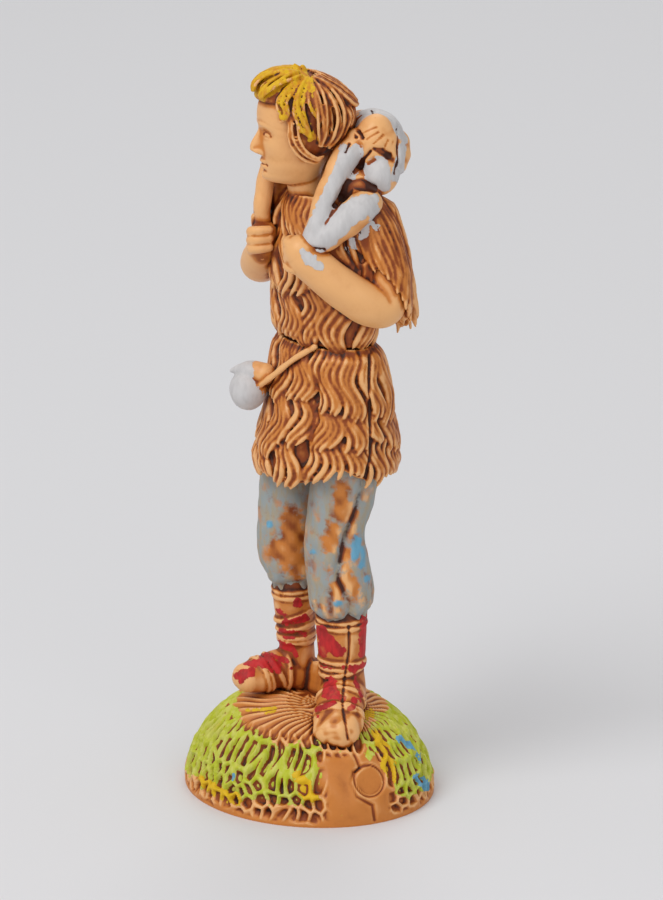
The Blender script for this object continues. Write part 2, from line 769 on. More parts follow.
def sole_of(rows, sole):
    """The lowest z allowed along a boot, from heel to toe."""
    heel, toe = np.array(rows[0][:2]), np.array(rows[-1][:2])
    run = toe - heel

    def floor(points):
        share = np.clip((points[:, :2] - heel) @ run / (run @ run), 0, 1)
        return sole["heel"] + share * (sole["toe"] - sole["heel"])

    return floor


def make_breeches():
    clay = Clay()
    for rows in (BREECHES_LEFT, BREECHES_RIGHT):
        clay.limb(rows, sides=64, steps=14)
    piece = fused("breeches", clay, 0.28, soften=2)
    points, out = places(piece), normals(piece)
    stretched = points * (1, 1, 0.55)
    folds = 0.20 * ripple(stretched, 1.9, 41) + 0.07 * ripple(points, 0.9, 42)
    middle_x = np.where(points[:, 0] > 1, 5.4, -3.9)
    angle = np.arctan2(points[:, 1] - 0.7, points[:, 0] - middle_x)
    gathers = 0.13 * np.sin(angle * 15 + 2 * ripple(points, 3, 43)) * smoothstep(-points[:, 2], -31, -27.5)
    gathers = gathers * smoothstep(out[:, 2], -0.7, -0.2)
    # the side seam of the left leg lies in a long furrow
    furrow = line_dent(points, PARTING_LEG, 0.55, 0.5) * smoothstep(points @ OUTER, 3.0, 4.5)
    move(piece, points + out * (folds + gathers - furrow)[:, None])
    return piece


# the mould's parting line down the left side, as (x, y, z)
PARTING_SKIRT = [(7.9, 4.0, 61.6), (10.6, 1.8, 56.0), (11.0, 1.7, 49.1), (10.8, 0.9, 45.3)]
PARTING_LEG = [
    (10.8, 0.9, 45.3),
    (9.6, 0.7, 41.0),
    (8.6, -0.7, 36.6),
    (8.5, -1.8, 32.0),
    (9.0, -1.3, 29.9),
    (9.2, -0.4, 27.7),
    (8.6, 0.0, 24.5),
]
PARTING_BOOT = [
    (8.6, 0.0, 24.5),
    (8.5, 0.1, 21.1),
    (8.1, -0.1, 18.3),
    (10.2, -2.3, 15.1),
    (12.3, -3.6, 13.2),
    (13.6, -4.0, 10.8),
]
PARTING_MOUND = [
    (13.8, -4.0, 10.2),
    (14.0, -3.2, 8.7),
    (15.2, -3.1, 7.1),
    (15.0, -4.2, 6.9),
    (14.9, -4.7, 5.4),
    (16.2, -4.6, 3.8),
    (17.6, -3.0, 2.6),
    (17.9, -2.9, 0.6),
]
OUTER = np.array((0.788, -0.616, 0.0))


def line_dent(points, line, width, depth):
    """Depth of a furrow along a line on the left side, measured across the outer direction."""
    run = spline(line, 10)
    flat = np.eye(3) - np.outer(OUTER, OUTER)
    strokes = [np.hstack([run @ flat, np.zeros((len(run), 1))])]
    away = -stroke_field(points @ flat, strokes)
    return depth * np.exp(-((away / width) ** 2))


def make_boots():
    clay = Clay()
    across = BOOT_LEFT_ACROSS
    clay.limb(SHIN_LEFT, sides=56, steps=10)
    clay.limb(SHIN_RIGHT, sides=56, steps=10)
    clay.limb(BOOT_LEFT, sides=56, steps=10, across=across, floor=sole_of(BOOT_LEFT, SOLE_LEFT))
    clay.limb(BOOT_RIGHT, sides=56, steps=10, floor=sole_of(BOOT_RIGHT, SOLE_RIGHT))
    clay.blob((0.9, 1.3, 13.2), (4.4, 1.1, 4.0))
    clay.blob((2.6, 1.3, 18.0), (1.5, 1.0, 5.0))
    # double cord under each knee, then the wraps over the ankle and the instep:
    # (rows, place, radius, lean, lean direction, across)
    wraps = [
        (SHIN_LEFT, 4.55, 0.24, 0.25, 130, X_AXIS),
        (SHIN_LEFT, 4.3, 0.24, 0.25, 130, X_AXIS),
        (SHIN_LEFT, 2.55, 0.30, -0.3, 60, X_AXIS),
        (SHIN_LEFT, 2.3, 0.30, 0.1, 60, X_AXIS),
        (SHIN_LEFT, 2.0, 0.34, 0.5, 60, X_AXIS),
        (SHIN_RIGHT, 4.5, 0.24, 0.2, 130, X_AXIS),
        (SHIN_RIGHT, 4.27, 0.24, 0.2, 130, X_AXIS),
        (SHIN_RIGHT, 3.35, 0.30, 0.9, 60, X_AXIS),
        (SHIN_RIGHT, 2.75, 0.30, 0.5, 60, X_AXIS),
        (SHIN_RIGHT, 2.3, 0.30, 0.1, 60, X_AXIS),
        (SHIN_RIGHT, 2.0, 0.30, 0.0, 60, X_AXIS),
        (BOOT_LEFT, 2.1, 0.30, 0.4, 90, across),
        (BOOT_LEFT, 3.0, 0.28, 0.5, 90, across),
        (BOOT_LEFT, 3.35, 0.26, 0.5, 90, across),
        (BOOT_RIGHT, 1.9, 0.28, 0.5, 90, X_AXIS),
        (BOOT_RIGHT, 2.5, 0.28, 0.7, 90, X_AXIS),
        (BOOT_RIGHT, 3.4, 0.28, 0.5, 90, X_AXIS),
        (BOOT_RIGHT, 3.75, 0.26, 0.5, 90, X_AXIS),
    ]
    soles = {id(BOOT_LEFT): sole_of(BOOT_LEFT, SOLE_LEFT), id(BOOT_RIGHT): sole_of(BOOT_RIGHT, SOLE_RIGHT)}
    for rows, place, radius, lean, lean_deg, side in wraps:
        path = band_round(rows, place, 0.02, across=side, tilt=lean, tilt_deg=lean_deg)
        if id(rows) in soles:
            path[:, 2] = np.maximum(path[:, 2], soles[id(rows)](path) + radius)
        clay.strand(path, radius, closed=True)
    piece = fused("boots", clay, 0.22, soften=2)
    points, out = places(piece), normals(piece)
    toes = smoothstep(points @ unit(np.array((0.7, -0.7, 0.0))), 8.6, 9.6)
    creases = 0.07 * ripple(points * (1, 1, 0.7), 1.1, 51) + 0.12 * toes * ripple(points, 0.9, 52)
    furrow = line_dent(points, PARTING_BOOT, 0.2, 0.16) * smoothstep(points @ OUTER, 3.6, 4.6)
    move(piece, points + out * (creases - furrow)[:, None])
    return piece


# Tunic

BELT_Z = 62.2
HEM_Z = 44.3
FOLD = {"angle_deg": -58, "depth": 1.1, "half_angle_deg": 8}
# rows of [z, centre x, centre y, half width, half depth]
SKIRT_ROWS = [
    [43, 1.4, 1.8, 9.0, 8.2],
    [46.2, 1.4, 1.8, 9.9, 9.1],
    [48.5, 1.5, 1.9, 9.7, 8.7],
    [51.5, 1.6, 2.0, 9.5, 7.9],
    [56.5, 1.6, 2.1, 9.2, 6.9],
    [59.4, 1.6, 2.1, 9.1, 6.4],
    [61.0, 1.5, 2.0, 8.8, 5.9],
    [62.0, 1.4, 1.8, 7.9, 5.1],
]
TORSO_ROWS = [
    [62.2, 1.3, 1.7, 7.6, 4.8],
    [64, 1.3, 1.7, 8.2, 5.2],
    [69, 1.2, 1.7, 8.8, 5.6],
    [74, 1.0, 1.8, 9.0, 5.6],
    [78.0, 0.9, 1.8, 8.2, 5.2],
    [80.4, 0.8, 1.4, 6.0, 4.4],
    [82.4, 0.6, 0.9, 3.6, 3.5],
]
SKIRT_TIERS = [HEM_Z, 48.9, 54.0, 62.3]
TORSO_TIERS = [BELT_Z - 0.1, 69.4, 76.0, 82.0]


def body_point(rows, angle, z, out):
    """A point at an angle and height, a little outside a part of the tunic."""
    cx, cy, a, b = station(rows, z)
    fold = FOLD["depth"] * np.exp(
        -((around(angle, math.radians(FOLD["angle_deg"])) / math.radians(FOLD["half_angle_deg"])) ** 2)
    )
    grow = out - fold * smoothstep(-z, -61, -57)
    return np.stack([cx + np.cos(angle) * (a + grow), cy + np.sin(angle) * (b + grow), z + 0 * angle], -1)


def hem_lift(angle):
    """The hem rises over the left thigh."""
    return 0.5 * np.sin(angle) + 2.2 * np.exp(-((around(angle, math.radians(-30)) / math.radians(17)) ** 2))


def tier_edge(tiers, tier, angle, hem):
    if tier == 0:
        return tiers[0] + hem(angle)
    uneven = 1.1 * np.sin(2 * angle + tier * 2.4) + 0.5 * np.sin(5 * angle + tier)
    return tiers[tier] + (uneven if tier < len(tiers) - 1 else 0)


def add_fleece(clay, rows, tiers, locks, strands_each, thick, seed, hem=lambda angle: 0 * angle):
    """Tiers of wavy locks that hang over a tucked core. Each lock is a few strands that run
    together towards its tip."""
    rng = np.random.default_rng(seed)
    strand, wave = sizes().fleece_strand / MM * thick, sizes().fleece_wave / MM
    wave_length = sizes().fleece_wave_length / MM
    turn = np.arange(96) * TAU / 96
    core = []
    for tier in range(len(tiers) - 1):
        low, high = tier_edge(tiers, tier, turn, hem), tier_edge(tiers, tier + 1, turn, hem)
        for fall in (1.0, 0.9, 0.7, 0.5, 0.3, 0.1):
            z = high + (low + 0.5 - high) * fall
            core.append(body_point(rows, turn, z, -0.5 + 0.35 * fall**2))
    clay.rings(np.array(core))
    for tier in range(len(tiers) - 1):
        count = locks + (tier % 2)
        shift = rng.uniform(0, TAU)
        for i in range(count):
            middle = (i + rng.uniform(-0.15, 0.15)) / count * TAU
            reach = TAU / count / 2
            phase = shift + 1.6 * math.sin(middle * 2 + tier) + rng.uniform(-0.35, 0.35)
            drop = rng.uniform(-0.8, 0.6)
            bulge = rng.uniform(0.0, 0.35)
            strands = strands_each + (rng.random() < 0.2)
            for j in range(strands):
                across = (j + 0.5) / strands * 2 - 1
                add_strand(
                    clay, rows, tiers, tier, hem, middle, reach, across, phase, drop, bulge,
                    strand * rng.uniform(0.85, 1.15), wave, wave_length, rng.uniform(-0.15, 0.15),
                )


def add_strand(clay, rows, tiers, tier, hem, middle, reach, across, phase, drop, bulge, radius, wave, wave_length, jitter):
    t = np.linspace(0, 1, 20)
    begin = middle + across * reach
    high = tier_edge(tiers, tier + 1, begin, hem) + (0.7 if tier < len(tiers) - 2 else 0)
    low = tier_edge(tiers, tier, middle, hem) + drop + 0.5 * across**2 + 3 * jitter
    z = high + (low - high) * t
    cx, cy, a, b = station(rows, z)
    local = (a + b) / 2
    gather = 1 - 0.15 * smoothstep(t, 0.6, 1.0)
    sway = wave * np.sin(z / wave_length * TAU + phase + 0.4 * across) * smoothstep(t, -0.2, 0.35)
    angle = middle + across * reach * gather + (sway + jitter) / local
    out = -0.3 + 0.6 * t**1.5 + bulge * (1 - across**2) * np.sin(t * math.pi) ** 0.7
    path = body_point(rows, angle, z, out)
    taper = np.minimum(1, (1 - t) * 4.5 + 0.45) * (0.85 + 0.2 * np.sin(t * math.pi))
    outward = np.stack([np.cos(angle), np.sin(angle), 0 * angle], -1)
    clay.strand(path, radius * taper, out=outward)


# rows of [share down the sleeve, x, y, z, half width, half depth]
SLEEVE_LEFT = [
    [0, 6.6, 3.0, 82.4, 1.6, 2.2],
    [0.14, 7.4, 3.7, 80.6, 2.9, 4.3],
    [0.4, 8.2, 4.4, 75.6, 3.3, 4.7],
    [0.7, 9.0, 5.1, 70.4, 3.1, 4.5],
    [1, 9.6, 6.9, 67.4, 2.1, 3.0],
]
SLEEVE_RIGHT = [
    [0, -4.8, 3.2, 82.2, 1.6, 2.2],
    [0.14, -5.8, 3.8, 80.2, 2.6, 3.8],
    [0.4, -7.2, 4.6, 75.4, 2.9, 4.0],
    [0.7, -8.2, 5.2, 70.4, 2.7, 3.8],
    [1, -8.9, 6.2, 68.2, 1.9, 2.6],
]
SLEEVE_SLANT = 3.4


def sleeve_point(rows, share, angle, out, front):
    x, y, z, a, b = station(rows, share)
    slant = SLEEVE_SLANT * share**3 * np.cos(angle - front)
    return np.stack([x + np.cos(angle) * (a + out), y + np.sin(angle) * (b + out), z + slant + 0 * angle], -1)


def add_sleeve(clay, rows, front_deg, seed):
    """A wide fleece sleeve of long locks. Its ragged edge is high in front and low behind."""
    rng = np.random.default_rng(seed)
    front = math.radians(front_deg)
    turn = np.arange(64) * TAU / 64
    shares = np.linspace(1, 0, 14)
    core = [sleeve_point(rows, share + 0 * turn, turn, -0.6, front) for share in shares]
    clay.rings(np.array(core))
    radius = sizes().fleece_strand / MM
    for tier, (start, end, count) in enumerate([(0.0, 0.64, 21), (0.5, 1.06, 19)]):
        for i in range(count):
            begin = (i + rng.uniform(-0.2, 0.2)) / count * TAU
            t = np.linspace(0, 1, 16)
            share = start + (end + rng.uniform(-0.07, 0.05) - start) * t
            pull = 0.10 * math.sin(i * 2.1) * t**2
            angle = begin + 0.12 * np.sin(t * 5 + i * 0.9) + pull
            out = -0.2 + 0.2 * tier + 0.35 * t**2 + rng.uniform(-0.12, 0.2) * np.sin(t * math.pi)
            path = sleeve_point(rows, np.minimum(share, 1), angle, out, front)
            path[:, 2] -= np.maximum(share - 1, 0) * 14
            taper = np.minimum(1, (1 - t) * 3 + 0.35)
            outward = np.stack([np.cos(angle), np.sin(angle), 0 * angle], -1)
            clay.strand(path, radius * rng.uniform(0.8, 1.2) * taper, out=outward)


# rows of [z, x, y, radius] up the upper arm, and the sleeve's edge round it: [angle, z]
UPPER_ARM_LEFT = [[65, 12.2, 3.8, 2.3], [68.6, 11.9, 3.8, 2.5], [73, 10.6, 4.4, 2.7], [79, 8.2, 4.0, 2.6], [83, 6.6, 3.4, 1.4]]
UPPER_ARM_RIGHT = [[65, -10.9, 1.6, 2.2], [70.8, -10.4, 1.6, 2.5], [74, -9.0, 3.0, 2.6], [79, -6.4, 3.4, 2.5], [83, -5.0, 3.0, 1.4]]
SLEEVE_EDGE = [[-150, 77], [-90, 75.5], [-45, 72.6], [0, 70.2], [45, 66.6], [110, 65.6]]


def add_arm_cover(clay, rows, mirrored, seed):
    """Two layers of long locks that lie on the upper arm and end in the sleeve's slanted edge."""
    rng = np.random.default_rng(seed)
    edge_deg, edge_z = np.array(SLEEVE_EDGE, float).T
    radius = sizes().fleece_strand / MM
    for layer, (count, lift) in enumerate([(26, 0.0), (24, 0.32)]):
        for i in range(count):
            at = edge_deg[0] + (i + 0.5 * layer + rng.uniform(-0.2, 0.2)) / count * (edge_deg[-1] - edge_deg[0])
            t = np.linspace(0, 1, 18)
            low = np.interp(at, edge_deg, edge_z) + rng.uniform(-0.5, 0.5) + 0.4 * (1 - layer)
            z = 82.0 + (low - 82.0) * t
            x, y, reach = station(rows, z)
            turn = math.radians(180 - at if mirrored else at) + 0.1 * np.sin(t * 6 + i * 0.8)
            out = np.stack([np.cos(turn), np.sin(turn), 0 * turn], -1)
            path = np.stack([x, y, z], -1) + out * (reach + lift + 0.15 * t)[:, None]
            taper = np.minimum(1, (1 - t) * 3.5 + 0.4)
            clay.strand(path, radius * rng.uniform(0.85, 1.2) * taper, out=out)


def fleece_piece(name, clay):
    """One carved part of the tunic, with a little nap and the mould's parting line."""
    piece = fused(name, clay, sizes().voxel / MM, soften=2)
    points, out = places(piece), normals(piece)
    nap = 0.05 * ripple(points * (1, 1, 0.4), 0.5, 61)
    furrow = line_dent(points, PARTING_SKIRT, 0.2, 0.3) * smoothstep(points @ OUTER, 4.0, 5.5)
    belt = np.exp(-(((points[:, 2] - BELT_Z) / 0.6) ** 2))
    mark(piece, "join", 0.7 * belt * (np.abs(points[:, 0] - 1.4) < 8.6))
    move(piece, points + out * (nap - furrow)[:, None])
    return piece


def make_skirt():
    clay = Clay()
    add_fleece(clay, SKIRT_ROWS, SKIRT_TIERS, sizes().locks_round_skirt, 4, 1.05, 5, hem_lift)
    return fleece_piece("skirt", clay)


def make_torso():
    clay = Clay()
    add_fleece(clay, TORSO_ROWS, TORSO_TIERS, sizes().locks_round_skirt - 3, 4, 1.1, 8)
    clay.limb([[1.4, 1.75, BELT_Z - 3, 6.9, 4.1], [1.4, 1.75, BELT_Z + 3, 6.9, 4.1]], sides=64)
    clay.blob((-5.5, 0.4, 79.8), (2.7, 2.2, 3.6))
    clay.blob((6.4, 2.8, 82.0), (2.8, 2.6, 3.2))
    return fleece_piece("torso", clay)


def make_sleeves():
    clay = Clay()
    add_sleeve(clay, SLEEVE_LEFT, -60, 3)
    add_sleeve(clay, SLEEVE_RIGHT, -120, 4)
    add_arm_cover(clay, UPPER_ARM_LEFT, False, 23)
    add_arm_cover(clay, UPPER_ARM_RIGHT, True, 24)
    return fleece_piece("sleeves", clay)


# Arms

ARM_LEFT = [
    [8.0, 4.0, 79, 2.6],
    [10.6, 4.4, 73, 2.7],
    [11.9, 3.6, 68.6, 2.5],
    [11.2, 1.6, 68.7, 2.85],
    [9.8, -1.2, 70.6, 2.7],
    [8.2, -3.6, 72.9, 2.55],
    [6.7, -5.3, 74.9, 2.5],
    [6.1, -5.9, 76.0, 2.3],
]
ARM_RIGHT = [
    [-6.2, 3.6, 79, 2.5],
    [-9.0, 3.0, 74, 2.6],
    [-10.4, 1.0, 70.8, 2.6],
    [-9.4, -0.8, 70.6, 2.6],
    [-7.0, -2.6, 72.4, 2.3],
    [-5.2, -3.6, 74.2, 2.0],
    [-4.6, -3.8, 76.0, 1.8],
]


def make_arms():
    clay = Clay()
    clay.limb(ARM_LEFT, sides=56, steps=12, across=(0.9, -0.27, 0.35))
    clay.limb(ARM_RIGHT, sides=56, steps=12, across=(-0.77, -0.38, 0.51))
    for i in range(3):
        z = 76.6 - i * 1.2
        finger = [
            [-6.3, -3.7, z - 0.6, 0.6],
            [-5.6, -5.1, z - 0.35, 0.66],
            [-4.6, -5.7, z, 0.68],
            [-3.6, -5.3, z + 0.2, 0.66],
            [-2.9, -4.2, z + 0.3, 0.55],
        ]
        clay.limb(finger, sides=24, steps=6, across=Z_AXIS)
    clay.limb([[-5.6, -3.6, 75.6, 0.8], [-6.5, -3.5, 76.8, 0.75], [-6.4, -3.9, 77.9, 0.6]], sides=24)
    for i in range(4):
        z = 77.2 - i * 1.05
        finger = [[6.2, -7.2, z - 0.2, 0.6], [4.9, -7.2, z, 0.62], [4.1, -6.2, z + 0.1, 0.6], [4.2, -5.2, z, 0.5]]
        clay.limb(finger, sides=24, steps=6, across=Z_AXIS)
    piece = fused("arms", clay, 0.22, soften=3)
    points, out = places(piece), normals(piece)
    move(piece, points + out * (0.05 * ripple(points, 1.6, 71))[:, None])
    return piece


# Head: points are given forward of, to the left of and above the chin, along the head's axis

HEAD_AXIS = (-0.1, -1.3)
HEAD_YAW_DEG = -30
CHIN_Z = 83.6
THIRD = 3.753


def on_head(points):
    forward, left, up = np.moveaxis(np.asarray(points, float), -1, 0)
    yaw = math.radians(HEAD_YAW_DEG)
    return np.stack(
        [
            HEAD_AXIS[0] + math.sin(yaw) * forward + math.cos(yaw) * left,
            HEAD_AXIS[1] - math.cos(yaw) * forward + math.sin(yaw) * left,
            CHIN_Z + up,
        ],
        -1,
    )


def head_places(points):
    """The forward, left and up of points in the part's frame."""
    yaw = math.radians(HEAD_YAW_DEG)
    x, y = points[:, 0] - HEAD_AXIS[0], points[:, 1] - HEAD_AXIS[1]
    forward = math.sin(yaw) * x - math.cos(yaw) * y
    left = math.cos(yaw) * x + math.sin(yaw) * y
    return np.stack([forward, left, points[:, 2] - CHIN_Z], -1)


# a plain youthful face on even thirds: rows of [height in thirds, front, half width, back]
SKULL_ROWS = [
    [-0.06, 2.2, 1.5, 1.8],
    [0.04, 3.9, 2.2, 2.4],
    [0.2, 4.55, 2.75, 2.6],
    [0.42, 4.75, 3.2, 2.9],
    [0.7, 4.9, 3.65, 3.4],
    [1.0, 5.0, 3.95, 3.9],
    [1.3, 5.1, 4.2, 4.6],
    [1.6, 5.2, 4.4, 5.1],
    [1.84, 5.3, 4.5, 5.4],
    [2.05, 5.45, 4.55, 5.5],
    [2.4, 5.6, 4.6, 5.6],
    [2.9, 5.25, 4.35, 5.0],
    [3.3, 4.1, 3.5, 3.2],
    [3.55, 2.3, 1.9, 1.6],
]


def bump(value, middle, half):
    return np.exp(-(((value - middle) / half) ** 2))


def face_features(left, up):
    """How far the features stand forward of the smooth skull, in mm."""
    beside = np.abs(left)
    flat = np.exp(-((left / 1.2) ** 4))
    rise = 1.5 * smoothstep(-up, -7.7, -4.6) * smoothstep(up, 3.55, 4.35)
    width = 0.42 + 0.32 * smoothstep(-up, -7.4, -4.4)
    nose = rise * np.exp(-((left / width) ** 2)) + 0.62 * bump(beside, 0.72, 0.36) * bump(up, 4.12, 0.42)
    nose = nose - 0.3 * bump(beside, 0.42, 0.2) * bump(up, 3.62, 0.16)
    lips = flat * (0.36 * bump(up, 2.84, 0.27) + 0.34 * bump(up, 2.18, 0.27))
    lips = lips - 0.34 * np.exp(-((left / 1.35) ** 4)) * bump(up, 2.5, 0.1) - 0.16 * bump(beside, 1.4, 0.3) * bump(up, 2.5, 0.3)
    chin = 0.42 * np.exp(-((left / 1.4) ** 2)) * bump(up, 0.75, 0.8) - 0.2 * flat * bump(up, 1.65, 0.3)
    x = np.clip((beside - 1.95) / 0.95, -1.3, 1.3)
    eye = -0.6 * bump(beside, 1.95, 1.05) * bump(up, 6.75, 0.72)
    eye = eye + 0.42 * bump(beside, 1.95, 0.66) * bump(up, 6.62, 0.46)
    lid_line = bump(up, 6.58 + 0.36 * (1 - x * x), 0.1) + 0.8 * bump(up, 6.58 - 0.16 * (1 - x * x), 0.08)
    fold = 0.5 * bump(up, 6.95 + 0.34 * (1 - x * x), 0.1)
    eye = eye - 0.17 * (lid_line + fold) * (1 - smoothstep(np.abs(x), 0.85, 1.1))
    brow = 0.24 * bump(beside, 1.8, 1.3) * bump(up, 7.95 - 0.1 * (beside - 1.7) ** 2, 0.36)
    cheek = 0.22 * bump(beside, 2.9, 1.1) * bump(up, 5.1, 1.0)
    return nose + lips + chin + eye + brow + cheek


def make_head():
    COLUMNS, STEPS = 260, 18
    clay = Clay()
    spread = (np.arange(COLUMNS) + 0.5) / COLUMNS * 2 - 1
    turn = math.pi * (0.5 * spread + 0.5 * spread**3)
    ahead = np.cos(turn)
    rings = []
    for share, front, half, back in spline(SKULL_ROWS, STEPS):
        left, up = np.sin(turn) * half, share * THIRD + 0 * turn
        features = face_features(left, up) * smoothstep(ahead, 0.05, 0.4)
        forward = np.where(ahead > 0, np.abs(ahead) ** 0.75 * front, ahead * back) + features
        rings.append(on_head(np.stack([forward, left, up], -1)))
    clay.rings(np.array(rings))
    clay.limb([[0.7, 1.0, 78, 3.2], [0.2, -0.4, 82, 2.35], [-0.2, -1.0, 86.4, 2.7]], sides=48)
    piece = fused("head", clay, 0.15, soften=1)
    points, out = places(piece), normals(piece)
    move(piece, points + out * (0.02 * ripple(points, 1.2, 73))[:, None])
    return piece


# Hair: locks of (rows of forward, left and up, width at each end, share painted, mirrored)

LOCKS = [
    ([(0.5, 0.5, 15.0), (3.5, 0.6, 14.7), (5.7, 0.6, 13.5), (6.4, 0.8, 12.1)], 3.0, 2.2, 1.0, False),
    ([(0.5, -0.9, 15.0), (3.4, -1.3, 14.5), (5.4, -1.6, 13.2), (5.9, -1.2, 12.0)], 2.6, 2.0, 1.0, False),
    ([(0.3, 1.5, 14.9), (2.8, 2.6, 14.1), (4.9, 2.9, 12.8), (5.7, 2.2, 11.6)], 2.6, 2.0, 1.0, True),
    ([(0.0, 2.2, 14.4), (1.8, 3.8, 12.9), (2.9, 4.4, 11.4), (2.7, 4.8, 9.9), (3.3, 4.7, 8.8)], 1.9, 1.2, 0.8, True),
    ([(-0.6, 2.4, 14.3), (0.5, 4.4, 12.5), (0.9, 5.1, 10.6), (0.2, 5.5, 8.6), (-0.9, 5.6, 6.8)], 1.6, 1.5, 1.0, True),
    ([(-1.0, 2.4, 14.3), (-0.8, 4.5, 12.4), (-0.9, 5.3, 10.8), (-1.4, 5.5, 9.3)], 1.1, 0.7, 0.95, True),
    ([(1.6, 4.8, 10.4), (1.6, 5.1, 8.4), (1.4, 5.2, 6.6), (0.3, 5.3, 4.9), (-1.4, 4.9, 3.9), (-2.6, 4.3, 4.3)], 1.7, 1.6, 0.0, True),
    ([(-1.4, 2.4, 14.1), (-2.2, 4.4, 12.3), (-2.5, 5.2, 10.0), (-2.6, 5.1, 7.6), (-2.2, 4.8, 5.4)], 2.8, 2.2, 0.0, True),
    ([(-1.8, 1.6, 14.2), (-4.0, 3.4, 12.2), (-5.0, 4.2, 9.6), (-4.6, 4.2, 7.0), (-3.2, 4.0, 5.0)], 3.6, 2.6, 0.0, True),
    ([(-1.6, 0.8, 14.5), (-4.4, 1.6, 12.8), (-6.3, 1.6, 11.2), (-7.5, 0.9, 10.3)], 4.0, 2.4, 0.0, True),
    ([(-3.6, 2.6, 12.4), (-6.0, 2.6, 10.3), (-6.4, 2.4, 8.5), (-5.6, 2.4, 6.4), (-4.0, 2.2, 4.4)], 3.8, 2.8, 0.0, True),
    ([(-4.0, 0.0, 12.6), (-6.5, 0.0, 10.2), (-6.5, 0.0, 8.0), (-5.4, 0.0, 5.8), (-3.8, 0.0, 4.0)], 3.6, 3.0, 0.0, False),
]
STRAND_SPACING = 0.52
# rows of [height above the chin, front, half width, back, reach of the opening for the face]
HAIR_ROWS = [
    [3.5, 0.4, 3.6, 3.4, 1],
    [4.3, 1.5, 4.9, 4.6, 1],
    [6.4, 3.0, 5.65, 5.9, 1],
    [9.4, 4.6, 5.6, 7.0, 1],
    [10.3, 5.6, 5.5, 7.4, 0.5],
    [11.4, 6.5, 5.2, 5.9, 0],
    [13.0, 5.9, 4.3, 3.9, 0],
    [14.1, 4.4, 3.0, 2.0, 0],
    [14.8, 2.8, 1.7, 0.8, 0],
]


def add_lock(clay, rows, width, tip_width, side, radius, rng):
    """A lock: strands side by side on a curved line, which draw together towards the tip."""
    run = spline(rows, 9) * (1, side, 1)
    along = unit(np.gradient(run, axis=0))
    out = unit(run - (0, 0, 7.5))
    across = unit(np.cross(out, along))
    t = np.linspace(0, 1, len(run))
    strands = max(2, round((width + tip_width) / 2 / STRAND_SPACING))
    for j in range(strands):
        offset = ((j + 0.5) / strands - 0.5) * (width + (tip_width - width) * t)
        draw = 1 - 0.45 * smoothstep(t, 0.7, 1.0)
        weave = 0.14 * np.sin(t * 6 + j * 2.0 + rng.uniform(0, 2))
        middle = 1 - abs((j + 0.5) / strands * 2 - 1)
        lift = -0.1 + 0.2 * middle + 0.15 * np.sin(t * math.pi) + rng.uniform(-0.1, 0.1)
        path = run + across * (offset * draw + weave)[:, None] + out * lift[:, None]
        taper = np.minimum(1, np.minimum((1 - t) * 4 + 0.35, t * 6 + 0.3))
        size = radius * rng.uniform(0.85, 1.15) * taper
        clay.strand(on_head(path), size, sides=10, out=on_head(out) - on_head(np.zeros(3)))


def make_hair():
    clay = Clay()
    rng = np.random.default_rng(17)
    radius = sizes().hair_strand / MM
    turn = np.arange(96) * TAU / 96
    facing = np.exp(-((around(turn, 0) / 0.95) ** 6))
    rings = []
    for up, front, half, back, open_share in spline(HAIR_ROWS, 4):
        ahead = np.cos(turn)
        forward = ahead * (np.where(ahead > 0, front, back) - 0.55) - 1.8 * facing * open_share
        across = np.sin(turn) * (half - 0.55) * (1 - 0.3 * facing * open_share)
        rings.append(on_head(np.stack([forward, across, up + 0 * turn], -1)))
    clay.rings(np.array(rings))
    for rows, width, tip_width, _, mirrored in LOCKS:
        for side in (1, -1) if mirrored else (1,):
            add_lock(clay, rows, width, tip_width, side, radius, rng)
    tuft = [(0.6, 0.6, 13.8), (0.4, 0.5, 14.9), (0.9, 0.4, 15.5)], [(-0.3, -0.1, 13.8), (-0.4, 0.1, 14.8), (-0.2, 0.2, 15.35)]
    for rows in tuft:
        run = spline(rows, 6)
        clay.strand(on_head(run), np.linspace(0.7, 0.25, len(run)), sides=12)
    piece = fused("hair", clay, 0.16, soften=2)
    points, out = places(piece), normals(piece)
    move(piece, points + out * (0.03 * ripple(points, 0.5, 81))[:, None])
    return piece


# Lamb

# lines cut between its brow, ear, cheek and forelegs
LAMB_CUTS = [
    [(4.2, 7.2, 92.6), (5.6, 6.4, 92.4), (7.4, 5.2, 92.2)],
    [(9.4, 2.8, 88.6), (8.4, 2.4, 87.4), (7.2, 3.0, 85.9)],
    [(8.4, 8.6, 91.6), (8.9, 7.7, 90.3), (10.4, 6.6, 89.0), (10.8, 6.3, 87.2), (11.1, 5.6, 85.6)],
    [(7.0, 1.2, 89.4), (7.2, 0.5, 88.5)],
    [(3.4, 4.4, 90.5), (7.1, 2.3, 90.2)],
    [(6.9, 2.8, 90.9), (8.0, 2.6, 90.2)],
    [(7.3, -7.0, 77.5), (8.3, -5.8, 76.9), (9.1, -4.4, 76.6)],
]
# fine lines that fan out over its ear
EAR_LINES = [
    [(9.1, 4.0, 91.6), (7.7, 2.8, 90.7)],
    [(9.5, 4.0, 91.0), (8.6, 2.9, 90.1)],
    [(9.8, 4.6, 90.6), (9.6, 3.2, 89.6)],
    [(10.2, 5.1, 89.9), (10.1, 4.4, 88.7)],
    [(10.2, 5.9, 89.6), (10.1, 5.6, 88.0)],
]
# hollows that the wash has filled: (x, y, z, half width)
LAMB_STAINS = [
    [(9.6, 3.3, 88.9, 0.25), (10.0, 4.2, 88.5, 0.5), (10.2, 5.2, 87.8, 0.35)],
    [(8.0, 0.6, 84.3, 0.6), (8.6, 1.8, 84.3, 0.8), (9.8, 2.9, 83.7, 0.6)],
    [(8.0, 0.6, 84.3, 0.7), (7.8, -0.6, 82.8, 0.8), (8.0, -2.0, 81.9, 0.3)],
]

